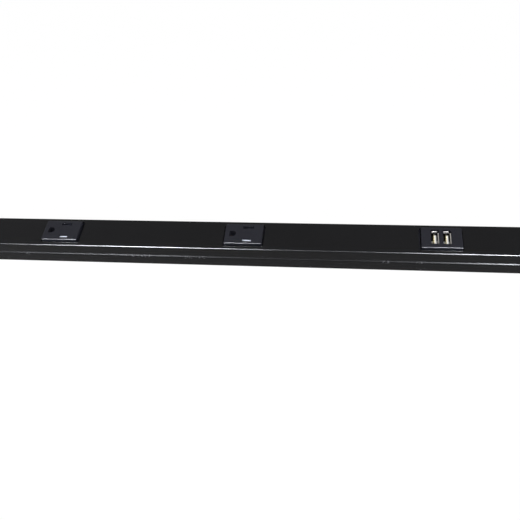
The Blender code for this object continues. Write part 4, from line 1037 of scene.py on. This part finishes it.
class STRIP_OT_usb_face(bpy.types.Operator):
    """Build the USB module's face moulding with its two port openings"""

    bl_idname = "strip.usb_face"
    bl_label = "USB Face"

    def execute(self, context):
        plastic = context.scene.strip_mouldings
        low, high = span("usb_face")
        plate_low, plate_high = plate_span("usb")
        body = face_moulding("usb", plastic.plate_edge)
        under = high[2] - FACE_WALL
        cutters = [
            block(
                (low[0] + 2 * COLLAR_WALL, low[1] + COLLAR_WALL, COLLAR_LOW - PAST),
                (high[0] - 2 * COLLAR_WALL, high[1] - COLLAR_WALL, FLANGE_UNDER), USB_NOOK, steps=2,
            ),
            block(
                (*(plate_low[:2] + COLLAR_WALL), FLANGE_UNDER - PAST),
                (*(plate_high[:2] - COLLAR_WALL), under), USB_NOOK, steps=2,
            ),
        ]
        for port in PORTS:
            shell_low, shell_high = span(f"{port}_shell")
            cutters.append(block(
                (shell_low[0] + OPENING_LEFT_LAP, shell_low[1] + OPENING_LAP, under - OVERLAP),
                (shell_high[0] + OPENING_ROOM, shell_high[1] + OPENING_FAR_ROOM, high[2] + PAST),
                OPENING_CORNER, steps=8,
            ))
        mesh = difference(body, *cutters)
        place("usb_moulding", mesh, "plate_plastic", ["usb_face"], plastic.slot_edge)
        return {"FINISHED"}


class STRIP_OT_usb_ports(bpy.types.Operator):
    """Build the drawn shells and the inserts with their tongues"""

    bl_idname = "strip.usb_ports"
    bl_label = "USB Ports"

    def execute(self, context):
        for port in PORTS:
            low, high = span(f"{port}_shell")
            centre, half = (low + high) / 2, (high - low) / 2
            rim = high[2] + LIP_RISE
            bend = rim - FAR_LIP_DROP - SHELL_SHEET
            shell = block(low, (*high[:2], bend), SHELL_CORNER, bottom=SHELL_INNER_CORNER, steps=5)
            inside = block(
                low + SHELL_SHEET, (*(high[:2] - SHELL_SHEET), bend + PAST), SHELL_INNER_CORNER,
                steps=5,
            )
            lips = []
            for across, axis, side, flare, drop, corner in (
                (0, "Y", -1, LIP_FLARE, LIP_DROP, LIP_CORNER),
                (0, "Y", 1, LIP_FLARE, LIP_DROP, LIP_CORNER),
                (1, "X", 1, FAR_LIP_FLARE, FAR_LIP_DROP, FAR_LIP_CORNER),
            ):
                along = 1 - across
                wall = half[across] - SHELL_SHEET + LIP_LAP
                reach = half[along] - corner
                lip = np.array([
                    (wall, bend - SHELL_SHEET), (wall, rim - drop), (wall + flare, rim),
                    (wall + flare, rim - LIP_SHEET), (wall + LIP_ROOT, rim - drop - LIP_SHEET),
                    (wall + LIP_ROOT, bend - SHELL_SHEET),
                ])
                lip[:, 0] = centre[across] + side * lip[:, 0]
                lips.append(prism(lip, axis, centre[along] - reach, centre[along] + reach))
            mesh = union(difference(shell, inside), *lips)
            # the shells' finish paints shade inside them, below the lips
            place(
                f"{port}_drawn_shell", mesh, "nickel_plating", [f"{port}_shell"],
                finish="port_nickel_painted_shade",
            )
            low, high = span(f"{port}_insert")
            foot = block(
                low, (*high[:2], low[2] + INSERT_HEIGHT), INSERT_CORNER, FINE_EDGE, FINE_EDGE, 3
            )
            left = low[0] - INSERT_ROOM + TONGUE_OFFSET
            tongue = block(
                (left, -TONGUE_WIDTH / 2, low[2] + INSERT_HEIGHT / 2),
                (left + TONGUE_THICKNESS, TONGUE_WIDTH / 2, high[2] - TONGUE_DROP), INSERT_CORNER,
                INSERT_CORNER, steps=5,
            )
            place(f"{port}_tongue", union(foot, tongue), "white_plastic", [f"{port}_insert"])
        return {"FINISHED"}


class STRIP_OT_shutter_springs(bpy.types.Operator):
    """Build each shutter spring as two coils"""

    bl_idname = "strip.shutter_springs"
    bl_label = "Shutter Springs"

    turns: IntProperty(name="Turns", description="Turns in each half", min=2, max=12, default=5)

    def execute(self, context):
        for number, name in enumerate(RECEPTACLES, start=1):
            node = f"{name}_shutter_spring"
            low, high = span(node)
            centre = (low + high) / 2
            radius = (high[0] - low[0]) / 2 - SPRING_WIRE
            half = (high[1] - low[1]) / 2 - SPRING_WIRE
            along = np.linspace(0.0, 1.0, POINTS_A_TURN * self.turns + 1)
            turn = 2 * math.pi * self.turns * along
            for kind, sign in (("line", -1), ("neutral", 1)):
                path = np.column_stack([
                    centre[0] + radius * np.cos(turn),
                    centre[1] + sign * half * along,
                    centre[2] + radius * np.sin(turn),
                ])
                mesh = tube(path, SPRING_WIRE, 8)
                coil = place(f"{name}_{kind}_coil", mesh, "spring_steel", [node])
                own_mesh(coil)
        return {"FINISHED"}


class STRIP_OT_wires(bpy.types.Operator):
    """Build the three insulated wires, each with its stripped end"""

    bl_idname = "strip.wires"
    bl_label = "Wires"

    def execute(self, context):
        for colour, node in (
            ("black", "line_wire"), ("white", "neutral_wire"), ("green", "ground_wire")
        ):
            low, high = span(node)
            radius = (high[2] - low[2]) / 2
            core = CORE_SHARE * radius
            skin = low[0] + STRIPPED
            if node == "ground_wire":
                start_y = low[1] + radius if low[1] < 0 else high[1] - radius
                end_y = middle("ground_terminal")[1]
                jog_start, jog_end = 2 * CAD_BOX[1][0] / 3, high[0] - CRIMPED
            else:
                start_y = end_y = (low[1] + high[1]) / 2
                jog_start, jog_end = high[0] - WIRE_TAIL, high[0]
            x = np.concatenate([
                [low[0], skin - GAP, skin],
                np.linspace(skin + WIRE_LEAD, jog_start, 40),
                np.linspace(jog_start, jog_end, 30)[1:],
            ])
            share = np.clip((x - jog_start) / (jog_end - jog_start), 0.0, 1.0)
            y = start_y + (end_y - start_y) * (1 - np.cos(math.pi * share)) / 2
            size = np.where(x < skin - GAP / 2, core, radius)
            if node == "ground_wire":
                x = np.append(x, [jog_end + GAP, high[0]])
                y = np.append(y, [end_y, end_y])
                size = np.append(size, [core, core])
            path = np.column_stack([x, y, np.full(len(x), low[2] + radius)])
            place(f"{colour}_wire", tube(path, size, 20), f"{colour}_insulation", [node])
        return {"FINISHED"}


class STRIP_OT_screws(bpy.types.Operator):
    """Build the end caps' pan head screws with their cross recesses"""

    bl_idname = "strip.screws"
    bl_label = "End Cap Screws"

    def execute(self, context):
        for node in END_SCREWS:
            low, high = span(node)
            centre = (low + high) / 2
            radius = (high[0] - low[0]) / 2
            shoulder = high[2] - HEAD_HEIGHT
            profile = []
            for t in quarter(8):
                rise = 1 - HEAD_CROWN + HEAD_CROWN * math.cos(t)
                profile.append((radius * math.sin(t), shoulder + HEAD_HEIGHT * rise))
            profile[0] = (POLE * radius, profile[0][1])
            profile += [
                (radius, shoulder), (SHANK, shoulder), (SHANK, low[2] + SHANK_POINT),
                (SHANK - SHANK_POINT, low[2]), (POLE * radius, low[2]),
            ]
            deep = high[2] - RECESS_DEPTH * HEAD_HEIGHT
            reach = RECESS_REACH * radius
            slots = [
                block(
                    (centre[0] - a, centre[1] - b, deep),
                    (centre[0] + a, centre[1] + b, high[2] + PAST), FINE_EDGE, steps=2,
                )
                for a, b in ((reach, RECESS_HALF), (RECESS_HALF, reach))
            ]
            mesh = difference(turned(profile, centre), *slots)
            place(f"{node}_pan_head", mesh, "zinc_plating", [node])
        return {"FINISHED"}


class STRIP_OT_finishes(bpy.types.Operator):
    """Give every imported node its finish"""

    bl_idname = "strip.finishes"
    bl_label = "Finishes"

    def execute(self, context):
        for node, obj in frame["nodes"].items():
            obj.data.materials.clear()
            obj.data.materials.append(finish_of(SLOT_OF_NODE[node]))
        return {"FINISHED"}


class STRIP_OT_stage(bpy.types.Operator):
    """Make the floor, the lamps, the surroundings and the camera"""

    bl_idname = "strip.stage"
    bl_label = "Stage"

    def execute(self, context):
        scene = context.scene
        settings = scene.strip_stage
        scene.view_settings.view_transform = "Standard"

        camera_data = bpy.data.cameras.new("camera")
        camera_data.lens = settings.lens
        camera_data.clip_start = 0.01
        camera_data.clip_end = 20.0
        camera = add_object("camera", camera_data)
        camera.location = settings.camera_place
        camera.rotation_euler = settings.camera_turn
        scene.camera = camera

        corners = FLOOR_REACH * np.array([(-1, -1), (1, -1), (1, 1), (-1, 1)])
        points = np.column_stack([corners, np.full(4, CAD_BOX[0][2] - FLOOR_GAP)])
        floor = add_object("floor", mesh_from(points, [[0, 1, 2, 3]]))
        floor.data.materials.append(floor_finish(settings.floor_white))

        for name, spot, size, share, reflected in LAMPS:
            lamp_data = bpy.data.lights.new(name, "AREA")
            lamp_data.shape = "RECTANGLE"
            lamp_data.size, lamp_data.size_y = size
            lamp_data.energy = share * (settings.glint_power if reflected else settings.lamp_power)
            lamp_data.color = GLINT_COLOUR if reflected else LAMP_COLOUR
            lamp = add_object(name, lamp_data)
            lamp.location = spot
            lamp.visible_diffuse = not reflected
            lamp.visible_glossy = reflected
            aim = Vector((spot[0] * LAMP_AIM, 0.0, 0.0)) - Vector(spot)
            lamp.rotation_euler = aim.to_track_quat("-Z", "Y").to_euler()

        world = bpy.data.worlds.new("studio")
        world.use_nodes = True
        scene.world = world
        tree = world.node_tree
        level = level_between(tree, seen_directly(tree), 0.0, 1.0, settings.surroundings, 1.0)
        fill(tree, tree.nodes["Background"], {"Strength": level, "Color": (1.0, 1.0, 1.0, 1.0)})
        return {"FINISHED"}


OPERATORS = (
    STRIP_OT_finishes,
    STRIP_OT_raceway_cover,
    STRIP_OT_raceway_base,
    STRIP_OT_end_caps,
    STRIP_OT_receptacle_faces,
    STRIP_OT_usb_face,
    STRIP_OT_usb_ports,
    STRIP_OT_shutter_springs,
    STRIP_OT_wires,
    STRIP_OT_screws,
    STRIP_OT_stage,
)
GROUPS = {
    "strip_steel": SteelSettings,
    "strip_mouldings": MouldingSettings,
    "strip_stage": StageSettings,
}


class STRIP_PT_panel(bpy.types.Panel):
    """The strip's pieces, in the 3D view's sidebar"""

    bl_idname = "STRIP_PT_panel"
    bl_label = "Power Strip"
    bl_space_type = "VIEW_3D"
    bl_region_type = "UI"
    bl_category = "Power Strip"

    def draw(self, context):
        layout = self.layout
        for operator in OPERATORS:
            layout.operator(operator.bl_idname)
        for group in GROUPS:
            settings = getattr(context.scene, group)
            column = layout.column(align=True)
            for name in settings.bl_rna.properties.keys():
                if name not in {"rna_type", "name"}:
                    column.prop(settings, name)


CLASSES = (*GROUPS.values(), *OPERATORS, STRIP_PT_panel)


def register():
    for cls in CLASSES:
        bpy.utils.register_class(cls)
    for name, group in GROUPS.items():
        setattr(bpy.types.Scene, name, PointerProperty(type=group))


def unregister():
    for name in GROUPS:
        delattr(bpy.types.Scene, name)
    for cls in reversed(CLASSES):
        bpy.utils.unregister_class(cls)


def main():
    """Clears the startup scene's own lamp and camera, then builds everything in order."""
    register()
    for name in ("Cube", "Light", "Camera"):
        if name in bpy.data.objects:
            bpy.data.objects.remove(bpy.data.objects[name], do_unlink=True)
    for operator in OPERATORS:
        group, action = operator.bl_idname.split(".")
        getattr(getattr(bpy.ops, group), action)()


if __name__ == "__main__":
    main()
